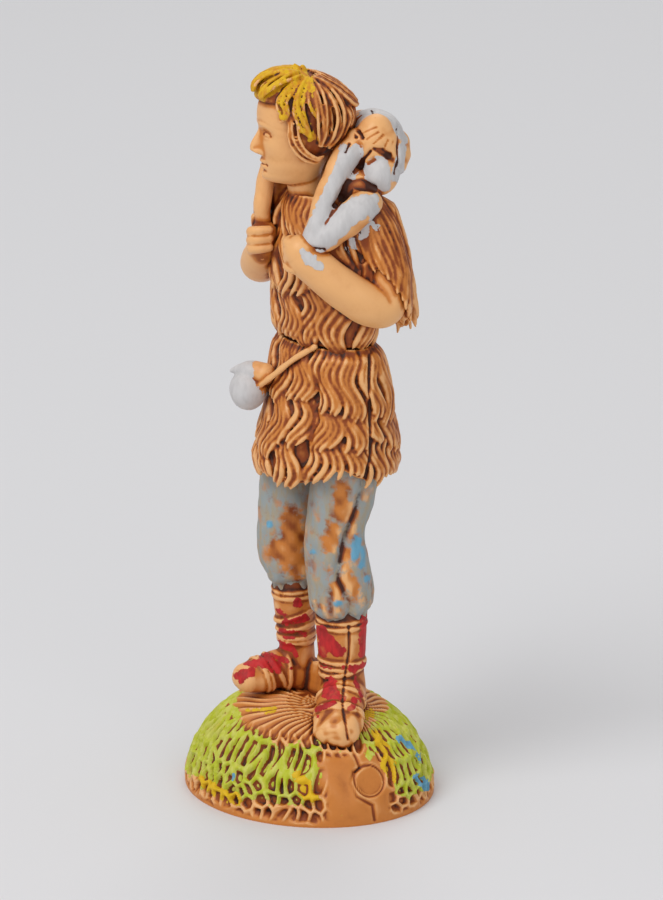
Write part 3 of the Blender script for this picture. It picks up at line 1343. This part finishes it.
LAMB_BARREL = [
    [-6.6, 6.6, 84.6, 3.0, 3.0],
    [-4.6, 7.4, 86.4, 4.2, 4.0],
    [0.4, 8.2, 86.9, 4.6, 4.3],
    [4.8, 7.2, 88.4, 4.5, 4.0],
    [6.4, 6.4, 89.2, 3.4, 3.2],
]
LAMB_EAR = [
    [7.0, 3.4, 90.8, 0.7, 0.6],
    [8.9, 5.2, 91.0, 1.7, 0.7],
    [10.0, 7.0, 88.2, 1.6, 0.7],
    [10.0, 7.4, 85.6, 0.5, 0.5],
]
NEAR_FORELEG = [
    [6.0, 3.2, 89.0, 2.0],
    [6.4, 0.2, 86.4, 1.7],
    [6.7, -2.3, 82.8, 1.55],
    [7.0, -3.8, 79.8, 1.5],
    [7.0, -5.0, 77.0, 1.5],
]
OUTER_FORELEG = [
    [9.8, 2.2, 81.9, 1.9],
    [9.7, 1.0, 81.4, 2.2],
    [9.2, -0.8, 80.0, 2.1],
    [8.3, -3.0, 78.2, 1.8],
    [7.3, -4.8, 76.6, 1.5],
]
NEAR_HIND_LEG = [
    [-6.2, 5.2, 85.6, 2.8],
    [-6.4, 1.0, 85.8, 2.1],
    [-5.3, -2.4, 84.0, 1.4],
    [-4.8, -3.7, 81.0, 1.15],
    [-4.9, -3.8, 76.6, 1.1],
    [-4.6, -4.0, 73.2, 0.9],
]
OUTER_HIND_LEG = [
    [-7.8, 4.6, 83.6, 2.0],
    [-8.0, 0.6, 82.4, 1.6],
    [-6.6, -2.4, 79.6, 1.2],
    [-5.4, -3.6, 76.8, 1.0],
]


def make_lamb():
    clay = Clay()
    leg = (0.3, -0.6, 0.7)
    clay.limb(LAMB_BARREL, sides=56, steps=12, across=Z_AXIS)
    clay.blob((7.4, 5.4, 88.8), (2.9, 3.2, 4.1), 30, sides=48)
    clay.blob((8.9, 4.9, 85.2), (2.4, 2.5, 2.7), sides=40)
    clay.blob((6.6, 2.8, 82.6), (3.2, 3.0, 3.6), sides=40)
    clay.blob((5.8, 9.9, 87.0), (1.9, 1.9, 3.2), sides=40)
    clay.limb(LAMB_EAR, sides=32, steps=10, across=(-0.4, 0.6, 0.4))
    clay.limb(NEAR_FORELEG, sides=40, steps=10, across=leg)
    clay.limb(OUTER_FORELEG, sides=40, steps=10, across=leg)
    clay.limb(NEAR_HIND_LEG, sides=40, steps=10)
    clay.limb(OUTER_HIND_LEG, sides=40, steps=10)
    piece = fused("lamb", clay, 0.22, soften=3)
    points, out = places(piece), normals(piece)
    woolly = smoothstep(points[:, 1] - 0.35 * points[:, 0], 5.0, 8.0)
    wool = 0.16 * ripple(points, 1.2, 91) * woolly
    soft = 0.10 * ripple(points, 1.7, 92)
    cut = cuts(points, LAMB_CUTS, 0.22, 0.4)
    fan = cuts(points, EAR_LINES, 0.17, 0.09)
    stain = np.clip(dabs(points, LAMB_STAINS) / 0.3 + 0.5, 0, 1)
    mark(piece, "join", np.maximum(np.maximum(0.45 * stain, cut), 1.8 * fan))
    move(piece, points + out * (wool + soft - cut - fan - 0.25 * stain)[:, None])
    return piece


# Gourd on its cord

GOURD_NECK = [
    [-2.6, -5.4, 57.6, 1.5],
    [-4.2, -6.4, 57.9, 1.35],
    [-5.4, -7.3, 57.9, 0.8],
    [-6.3, -7.9, 57.7, 0.3],
]
CORD = [
    [5.2, -3.0, 62.6, 0.42],
    [3.4, -4.1, 61.2, 0.42],
    [1.3, -5.1, 59.4, 0.42],
    [-0.6, -5.9, 57.6, 0.42],
    [-2.8, -6.5, 56.0, 0.5],
]


def make_gourd():
    clay = Clay()
    clay.blob((-4.5, -6.6, 55.3), (2.5, 2.5, 2.75), sides=56)
    clay.limb(GOURD_NECK, sides=40, steps=10)
    clay.limb(CORD, sides=28, steps=12, across=Z_AXIS)
    piece = fused("gourd", clay, 0.16, soften=4)
    points, out = places(piece), normals(piece)
    move(piece, points + out * (0.05 * ripple(points, 1.1, 95))[:, None])
    return piece


# Where pieces meet, and the stage

FIGURE = ["mound", "breeches", "boots", "skirt", "torso", "sleeves", "arms", "head", "hair", "lamb", "gourd"]


def mark_joins():
    """Marks how close each point lies to another piece, where the wash gathers."""
    trees = {}
    for name in FIGURE:
        piece = bpy.data.objects[name]
        points = places(piece) / MM
        faces = [tuple(polygon.vertices) for polygon in piece.data.polygons]
        trees[name] = (points, BVHTree.FromPolygons([tuple(p) for p in points], faces))
    REACH = 1.0
    for name, (points, _) in trees.items():
        close = marked(bpy.data.objects[name], "join")
        for other, (others, tree) in trees.items():
            if other == name:
                continue
            low, high = others.min(axis=0) - REACH, others.max(axis=0) + REACH
            near = np.flatnonzero(((points > low) & (points < high)).all(axis=1))
            for i in near:
                found = tree.find_nearest(Vector(points[i]), REACH)
                if found[0] is not None:
                    close[i] = max(close[i], math.exp(-((found[3] / 0.45) ** 2)))
        mark(bpy.data.objects[name], "join", close)


CAMERA = {"azimuth_deg": 52.0, "elevation_deg": 16.5, "distance": 680.0, "aim_z": 46.8, "aim_right": 3.0}
FOCAL_PX, PICTURE_WIDTH, PICTURE_HEIGHT = 5141.0, 663, 900


def make_camera():
    azimuth, elevation = (math.radians(CAMERA[k]) for k in ("azimuth_deg", "elevation_deg"))
    right = Vector((math.cos(azimuth), math.sin(azimuth), 0))
    back = Vector((math.sin(azimuth) * math.cos(elevation), -math.cos(azimuth) * math.cos(elevation), math.sin(elevation)))
    aim = right * CAMERA["aim_right"] + Vector((0, 0, CAMERA["aim_z"]))
    data = bpy.data.cameras.new("camera")
    data.sensor_fit = "VERTICAL"
    data.sensor_height = 36
    data.lens = FOCAL_PX / PICTURE_HEIGHT * 36
    data.sensor_width = 36
    data.clip_start, data.clip_end = 0.01, 20
    camera = bpy.data.objects.new("camera", data)
    camera.location = (aim + back * CAMERA["distance"]) * MM
    camera.rotation_euler = back.to_track_quat("Z", "Y").to_euler()
    bpy.context.scene.collection.objects.link(camera)
    bpy.context.scene.camera = camera


def add_light(name, place, size, power, aim=(0, 0, 0.05)):
    data = bpy.data.lights.new(name, "AREA")
    data.shape, data.size, data.energy = "DISK", size, power
    lamp = bpy.data.objects.new(name, data)
    lamp.location = place
    lamp.rotation_euler = (Vector(place) - Vector(aim)).to_track_quat("Z", "Y").to_euler()
    bpy.context.scene.collection.objects.link(lamp)


FLOOR_RADIUS = 4.0


def make_stage():
    turn = np.arange(96) * TAU / 96
    edge = np.stack([np.cos(turn), np.sin(turn), 0 * turn], -1) * FLOOR_RADIUS
    mesh = bpy.data.meshes.new("floor")
    mesh.from_pydata([tuple(p) for p in edge], [], [range(len(edge))])
    floor = link("floor", mesh)
    material = bpy.data.materials.new("floor")
    material.use_nodes = True
    shader = material.node_tree.nodes["Principled BSDF"]
    shader.inputs["Base Color"].default_value = (*srgb(0.87, 0.87, 0.88), 1)
    shader.inputs["Roughness"].default_value = 0.8
    floor.data.materials.append(material)
    world = bpy.data.worlds.new("studio")
    world.use_nodes = True
    world.node_tree.nodes["Background"].inputs[0].default_value = (0.87, 0.865, 0.86, 1)
    world.node_tree.nodes["Background"].inputs[1].default_value = 0.58
    bpy.context.scene.world = world
    add_light("key", (0.1, -0.7, 0.9), 0.7, 5.6)
    add_light("fill", (0.9, -0.2, 0.5), 0.6, 1.2)
    add_light("rim", (-0.5, 0.5, 0.8), 0.6, 1.6)
    bpy.context.scene.view_settings.view_transform = "Standard"
    make_camera()


# Paint: where each coat lies, as strokes of (x, y, z, half width)

RED_STROKES = [
    [(-1.0, -1.0, 25.5, 0.66)],
    [(-3.6, -2.3, 23.9, 0.39), (-2.6, -2.0, 23.3, 0.39)],
    [(-2.8, -1.9, 22.2, 0.59), (-1.0, 0.1, 23.1, 0.59)],
    [(-3.7, -1.9, 21.2, 0.46), (-1.2, 0.3, 20.6, 0.46)],
    [(-3.2, -1.6, 20.4, 0.39), (-2.2, -1.2, 20.4, 0.39)],
    [(-4.4, -1.7, 18.9, 0.66), (-2.3, -1.6, 19.0, 0.66)],
    [(-5.3, -3.2, 17.6, 0.46), (-2.3, -2.0, 17.1, 0.39)],
    [(-4.7, -4.0, 17.2, 0.79), (-2.4, -3.6, 16.5, 0.92)],
    [(-5.1, -6.4, 17.0, 0.53), (-3.5, -5.1, 17.0, 0.53)],
    [(-4.9, -8.3, 15.6, 0.66), (-3.6, -7.0, 16.3, 0.66), (-4.4, -8.3, 15.1, 0.39)],
    [(-1.8, -1.2, 19.1, 0.33), (-1.7, -1.0, 17.9, 0.33)],
    [(-1.8, -1.6, 16.2, 0.26)],
    [(5.4, -2.2, 23.5, 0.79), (6.6, -1.9, 22.2, 1.05), (7.7, -1.1, 21.0, 0.79)],
    [(5.6, -2.1, 23.1, 0.53), (5.4, -1.9, 20.2, 0.66)],
    [(8.1, -0.7, 21.1, 0.53)],
    [(5.2, -1.7, 18.5, 0.33), (7.9, -0.5, 18.6, 0.33)],
    [(7.0, -1.9, 16.4, 0.92), (8.2, -2.7, 15.8, 1.05)],
    [(7.6, -3.2, 15.4, 0.53), (10.0, -2.2, 15.3, 0.46)],
    [(7.9, -4.7, 13.6, 0.46), (9.6, -3.3, 15.0, 0.46)],
    [(8.8, -5.3, 13.1, 0.33)],
    [(9.1, 2.5, 27.4, 0.66), (8.3, 2.5, 20.0, 0.59)],
    [(8.3, 0.8, 18.3, 0.59), (7.1, 3.6, 18.1, 0.59)],
    [(8.6, 1.1, 17.2, 0.33), (10.2, 0.9, 14.4, 0.39)],
    [(10.7, -0.7, 14.9, 0.53), (11.4, -1.8, 14.2, 0.46)],
]
BARE_CLOTH = [
    [(4.6, -6.4, 43.9, 1.32), (-0.6, -2.2, 34.6, 1.45)],
    [(-1.9, -3.5, 33.3, 1.05), (-0.3, -1.2, 31.0, 1.58)],
    [(-1.5, -3.0, 30.6, 0.79), (-0.6, -1.4, 29.7, 0.79)],
    [(8.8, -1.5, 44.1, 1.05), (9.0, -1.0, 40.6, 1.18)],
    [(7.9, -2.1, 38.1, 0.79), (7.6, -2.4, 36.2, 0.92)],
    [(7.5, -2.6, 32.6, 0.53)],
    [(5.5, -2.7, 26.8, 0.53), (8.1, -1.6, 26.8, 0.53)],
    [(8.4, -1.8, 30.5, 0.46), (8.5, -1.7, 28.5, 0.39)],
    [(8.8, -0.7, 34.8, 0.66), (9.1, -0.7, 31.6, 0.72), (9.6, 0.6, 28.4, 0.79)],
    [(9.4, 0.2, 40.5, 0.39), (9.0, 0.4, 37.3, 0.46)],
    [(9.4, 1.7, 27.9, 0.66)],
]
LIGHT_BLUE = [
    [(8.8, 1.2, 36.4, 0.66), (9.3, 0.6, 34.2, 0.59)],
    [(8.6, 2.3, 34.9, 0.39), (9.2, 1.6, 32.8, 0.46)],
    [(9.1, 2.7, 30.7, 0.53)],
    [(5.3, -3.3, 34.6, 0.39)],
    [(-3.2, -4.1, 36.5, 0.39)],
    [(8.4, -1.7, 28.0, 0.39)],
]
WHITE_LAMB = [
    [(6.9, 0.6, 88.9, 0.7), (7.8, -0.4, 87.0, 1.0), (8.1, -2.2, 84.0, 1.2), (8.1, -4.4, 80.4, 1.3), (7.9, -5.5, 78.5, 1.3)],
    [(7.7, -6.0, 77.8, 0.8), (8.8, -5.2, 77.3, 0.8)],
    [(11.2, 2.0, 82.8, 0.7), (11.1, -0.2, 82.0, 1.6), (10.3, -1.9, 81.0, 1.6), (9.8, -3.2, 79.5, 1.6), (9.1, -4.8, 77.3, 0.9)],
    [(11.6, 1.7, 82.1, 0.6), (11.2, 2.0, 80.5, 0.8)],
    [(10.2, 3.6, 86.9, 1.3), (10.6, 3.5, 85.2, 1.45), (10.8, 3.9, 84.3, 0.9)],
    [(8.9, 2.8, 86.3, 0.7), (9.8, 2.7, 84.7, 0.8)],
    [(7.8, 1.9, 88.7, 0.9), (8.0, 0.9, 86.8, 1.05), (7.4, 1.2, 85.2, 0.7)],
    [(4.4, 5.1, 91.5, 0.7), (4.8, 4.3, 90.7, 0.4)],
    [(3.6, 7.0, 92.3, 1.2), (5.4, 8.4, 91.9, 1.2), (6.4, 8.8, 91.4, 1.0), (8.0, 8.7, 89.7, 1.0)],
    [(7.3, 9.7, 88.8, 0.9), (10.7, 7.0, 87.1, 0.9), (10.8, 6.1, 85.1, 0.8)],
]
BARE_GROUND = [
    [(12.2, -6.0, 9.2, 1.6), (15.4, -7.2, 3.7, 2.4)],
    [(13.6, -3.4, 9.0, 1.9), (17.0, -4.7, 1.9, 2.6)],
    [(15.3, 0.0, 7.7, 1.3), (17.8, -1.1, 1.3, 2.1)],
    [(17.8, 0.7, 1.7, 1.8)],
    [(*DISC["place"], DISC["radius"] + 0.7)],
    [(4.8, -15.3, 0.3, 2.0), (10.5, -13.0, 0.5, 2.6), (14.5, -9.4, 0.3, 3.0)],
]
STRAW = [
    [(-5.2, -6.9, 11.9, 0.8), (-0.7, -5.2, 12.5, 1.6), (2.2, -1.6, 12.8, 2.0)],
    [(-0.8, -9.4, 11.1, 0.6), (4.1, -8.9, 11.3, 1.3), (7.5, -6.5, 11.4, 1.8)],
]
GOLDEN_GRASS = [
    [(-4.0, -15.3, 2.8, 0.6), (-0.2, -15.8, 2.5, 0.9), (4.0, -15.4, 2.2, 0.8)],
    [(11.0, -10.5, 6.7, 0.7), (12.3, -10.2, 5.1, 1.0), (13.6, -9.6, 3.7, 0.8)],
    [(12.0, 1.9, 10.2, 0.6), (14.5, 1.3, 8.3, 0.9), (16.4, 1.1, 5.6, 0.9)],
    [(-1.9, -8.7, 11.5, 0.4), (-0.3, -7.7, 11.8, 0.4), (1.0, -6.7, 12.3, 0.4)],
    [(9.0, 2.6, 11.6, 0.5), (8.9, 3.7, 11.8, 0.5)],
]
BLUE_GRASS = [
    [(15.8, 5.9, 3.9, 0.55), (15.4, 8.0, 2.2, 0.7)],
    [(13.4, 4.8, 9.1, 0.4), (13.6, 6.1, 8.0, 0.5), (13.2, 7.4, 6.8, 0.4)],
    [(2.7, -15.0, 5.1, 0.4)],
    [(13.5, 7.9, 6.5, 0.3), (14.0, 8.0, 5.5, 0.3)],
]
FIST_WHITE = [[(7.8, -7.1, 76.6, 0.39), (8.5, -6.7, 75.8, 0.79), (9.1, -6.0, 75.0, 0.66), (9.6, -5.4, 74.6, 0.46)]]
TASSEL_WHITE = [
    [(10.5, 2.3, 79.5, 0.39), (10.8, 2.7, 78.7, 0.39)],
    [(10.3, 1.4, 78.9, 0.53), (9.8, 1.1, 77.7, 0.53), (9.6, 1.0, 77.5, 0.39)],
    [(9.3, -0.1, 77.3, 0.39), (9.4, -0.0, 76.5, 0.33)],
    [(8.7, -0.4, 76.0, 0.26), (9.1, -0.3, 75.4, 0.2)],
]


def tint(name):
    return tuple(getattr(colours(), name))


def shade(name, share):
    return tuple(c * share for c in tint(name))


def coat(name, streak, **values):
    """One brushed coat of a named colour, with streaks of another colour or of a darker one."""
    other = tint(streak) if isinstance(streak, str) else shade(name, streak)
    return {"Paint": tint(name), "Streak": other, **values}


def paint_breeches(piece):
    points = places(piece) / MM
    cloth = -dabs(points, BARE_CLOTH) - 0.15 + 0.5 * ripple(points, 2.6, 103)
    mark(piece, "cloth", cloth)
    mark(piece, "blue", dabs(points, LIGHT_BLUE))
    wash = {"Groove Depth": 0.03, "Broad Depth": 0.12, "Wiped": -1.1}
    grey = coat("blue_grey", "warm_grey", Softness=0.45, Rubbed=0.22, Ragged=0.8, Skip=0.5)
    blue = coat("bright_blue", 0.85, Softness=0.25, Ragged=0.4)
    return finish("Painted breeches", wash, [("cloth", grey), ("blue", blue)])


def paint_boots(piece):
    points, facing = places(piece) / MM, normals(piece) @ BRUSH
    hidden = 0.5 * ripple(points, 2.2, 101) + 0.1
    mark(piece, "red", np.where(facing < -0.15, hidden, dabs(points, RED_STROKES)))
    red = coat("red", 0.62, Rubbed=0.12, Ragged=0.35)
    return finish("Painted boots", {"Groove Depth": 0.02, "Broad Depth": 0.1, "Wiped": -0.5}, [("red", red)])


def paint_lamb(piece):
    points, facing = places(piece) / MM, normals(piece) @ BRUSH
    hidden = np.minimum(1.2 + 0.9 * ripple(points, 3.0, 105), points[:, 0] + 4.5)
    mark(piece, "white", np.where(facing < -0.1, hidden, dabs(points, WHITE_LAMB)))
    white = coat("white", 0.9, Rubbed=0.0, Ragged=0.3)
    return finish("Painted lamb", {"Groove Depth": 0.03, "Broad Depth": 0.12}, [("white", white)])


def paint_hair(piece):
    points = places(piece) / MM
    strokes = []
    for rows, width, tip_width, painted, mirrored in LOCKS:
        run = spline(rows, 6)
        run = run[: max(1, round(len(run) * painted))] if painted else run[:0]
        for side in (1, -1) if mirrored else (1,):
            if len(run) > 1:
                half = np.linspace(width, tip_width, len(run))[:, None] * 0.5
                strokes.append(np.hstack([on_head(run * (1, side, 1)), half]))
    mark(piece, "yellow", stroke_field(points, strokes))
    yellow = coat("yellow", "amber", Rubbed=0.14, Ragged=0.5)
    wash = {"Groove Depth": 0.022, "Broad Depth": 0.1, "Wiped": -1.3}
    return finish("Painted hair", wash, [("yellow", yellow)])


def paint_gourd(piece):
    points = places(piece) / MM
    mark(piece, "white", -((points - (-3.4, -5.4, 55)) @ unit(np.array((0.8, 0.5, 0.35)))) + 0.8)
    return finish("Painted gourd", {"Groove Depth": 0.03, "Broad Depth": 0.1}, [("white", coat("white", 0.9))])


def paint_mound(piece):
    points = places(piece) / MM
    bare = np.maximum(dabs(points, BARE_GROUND), dabs(points, STRAW) + 0.6)
    above_rim = points[:, 2] - 2.2 - 0.6 * ripple(points, 3.0, 113)
    straw_top = 11.4 - points[:, 2] - 0.5 * ripple(points, 2.0, 114)
    mark(piece, "grass", np.minimum(np.minimum(above_rim, straw_top), -bare) + 0.4 * ripple(points, 1.2, 115))
    mark(piece, "golden", dabs(points, GOLDEN_GRASS))
    mark(piece, "blue", dabs(points, BLUE_GRASS))
    grass = coat("grass", "pale_grass", Rubbed=0.1, Skip=1.0, Ragged=0.7)
    golden = coat("golden", 0.9, Ragged=0.6, Skip=0.7)
    blue = coat("bright_blue", 0.85, Ragged=0.6, Skip=0.7)
    wash = {"Groove Depth": 0.08, "Broad Depth": 0.3, "Wiped": -0.4}
    return finish("Painted mound", wash, [("grass", grass), ("golden", golden), ("blue", blue)])


def paint_skin(piece):
    points = places(piece) / MM
    mark(piece, "white", dabs(points, FIST_WHITE))
    wash = {"Groove Depth": 0.03, "Broad Depth": 0.2, "Wiped": 0.7}
    return finish("Skin", wash, [("white", coat("white", 0.9))])


def paint_face(piece):
    return finish("Face skin", {"Groove Depth": 0.012, "Broad Depth": 0.15, "Wiped": 0.8})


def paint_fleece(piece):
    points = places(piece) / MM
    mark(piece, "white", dabs(points, TASSEL_WHITE))
    wash = {"Groove Depth": 0.03, "Broad Depth": 0.13, "Wiped": -0.8}
    return finish("Fleece", wash, [("white", coat("white", 0.9))])


# Operators, panel and start

MAKERS = {
    "mound": (make_mound, paint_mound),
    "breeches": (make_breeches, paint_breeches),
    "boots": (make_boots, paint_boots),
    "skirt": (make_skirt, paint_fleece),
    "torso": (make_torso, paint_fleece),
    "sleeves": (make_sleeves, paint_fleece),
    "arms": (make_arms, paint_skin),
    "head": (make_head, paint_face),
    "hair": (make_hair, paint_hair),
    "lamb": (make_lamb, paint_lamb),
    "gourd": (make_gourd, paint_gourd),
}


def build(*names):
    """Shapes, marks and paints pieces, and hands them to the frame."""
    for name in names:
        make, paint = MAKERS[name]
        piece = make()
        mark_hollows(piece)
        piece.data.transform(Matrix.Scale(MM, 4))
        material = paint(piece)
        piece.data.transform(Matrix.Scale(1 / MM, 4))
        hand_over(piece, material)
    return {"FINISHED"}


class FIGURINE_OT_mound(bpy.types.Operator):
    """Adds the grassy mound that the figure stands on"""

    bl_idname = "figurine.mound"
    bl_label = "Mound"

    def execute(self, context):
        return build("mound")


class FIGURINE_OT_breeches(bpy.types.Operator):
    """Adds the breeches, gathered under the knees"""

    bl_idname = "figurine.breeches"
    bl_label = "Breeches"

    def execute(self, context):
        return build("breeches")


class FIGURINE_OT_boots(bpy.types.Operator):
    """Adds the cord-wrapped boots"""

    bl_idname = "figurine.boots"
    bl_label = "Boots"

    def execute(self, context):
        return build("boots")


class FIGURINE_OT_tunic(bpy.types.Operator):
    """Adds the fleece tunic: skirt, torso and sleeves"""

    bl_idname = "figurine.tunic"
    bl_label = "Fleece tunic"

    def execute(self, context):
        return build("skirt", "torso", "sleeves")


class FIGURINE_OT_arms(bpy.types.Operator):
    """Adds the bare arms and hands"""

    bl_idname = "figurine.arms"
    bl_label = "Arms"

    def execute(self, context):
        return build("arms")


class FIGURINE_OT_head(bpy.types.Operator):
    """Adds the head and neck"""

    bl_idname = "figurine.head"
    bl_label = "Head"

    def execute(self, context):
        return build("head")


class FIGURINE_OT_hair(bpy.types.Operator):
    """Adds the locks of hair"""

    bl_idname = "figurine.hair"
    bl_label = "Hair"

    def execute(self, context):
        return build("hair")


class FIGURINE_OT_lamb(bpy.types.Operator):
    """Adds the lamb across the shoulders"""

    bl_idname = "figurine.lamb"
    bl_label = "Lamb"

    def execute(self, context):
        return build("lamb")


class FIGURINE_OT_gourd(bpy.types.Operator):
    """Adds the gourd flask on its cord"""

    bl_idname = "figurine.gourd"
    bl_label = "Gourd"

    def execute(self, context):
        return build("gourd")


class FIGURINE_OT_joins(bpy.types.Operator):
    """Lets the brown wash gather where the pieces meet"""

    bl_idname = "figurine.joins"
    bl_label = "Wash in the joins"

    def execute(self, context):
        mark_joins()
        return {"FINISHED"}


class FIGURINE_OT_stage(bpy.types.Operator):
    """Adds the floor, the soft studio light and the camera"""

    bl_idname = "figurine.stage"
    bl_label = "Stage"

    def execute(self, context):
        make_stage()
        return {"FINISHED"}


OPERATORS = [
    FIGURINE_OT_mound,
    FIGURINE_OT_breeches,
    FIGURINE_OT_boots,
    FIGURINE_OT_tunic,
    FIGURINE_OT_arms,
    FIGURINE_OT_head,
    FIGURINE_OT_hair,
    FIGURINE_OT_lamb,
    FIGURINE_OT_gourd,
    FIGURINE_OT_joins,
    FIGURINE_OT_stage,
]


class FIGURINE_PT_panel(bpy.types.Panel):
    """Sizes, colours and the steps that build the figurine"""

    bl_idname = "FIGURINE_PT_panel"
    bl_label = "Painted shepherd figurine"
    bl_space_type = "VIEW_3D"
    bl_region_type = "UI"
    bl_category = "Figurine"

    def draw(self, context):
        for settings in (sizes(), colours()):
            box = self.layout.box()
            for name in settings.__annotations__:
                box.prop(settings, name)
        for operator in OPERATORS:
            self.layout.operator(operator.bl_idname)


CLASSES = [FigurineSizes, FigurineColours, *OPERATORS, FIGURINE_PT_panel]


def register():
    for kind in CLASSES:
        bpy.utils.register_class(kind)
    bpy.types.Scene.figurine_sizes = PointerProperty(type=FigurineSizes)
    bpy.types.Scene.figurine_colours = PointerProperty(type=FigurineColours)


def unregister():
    del bpy.types.Scene.figurine_colours
    del bpy.types.Scene.figurine_sizes
    for kind in reversed(CLASSES):
        bpy.utils.unregister_class(kind)


def main():
    register()
    for operator in OPERATORS:
        group, step = operator.bl_idname.split(".")
        getattr(getattr(bpy.ops, group), step)()


if __name__ == "__main__":
    main()
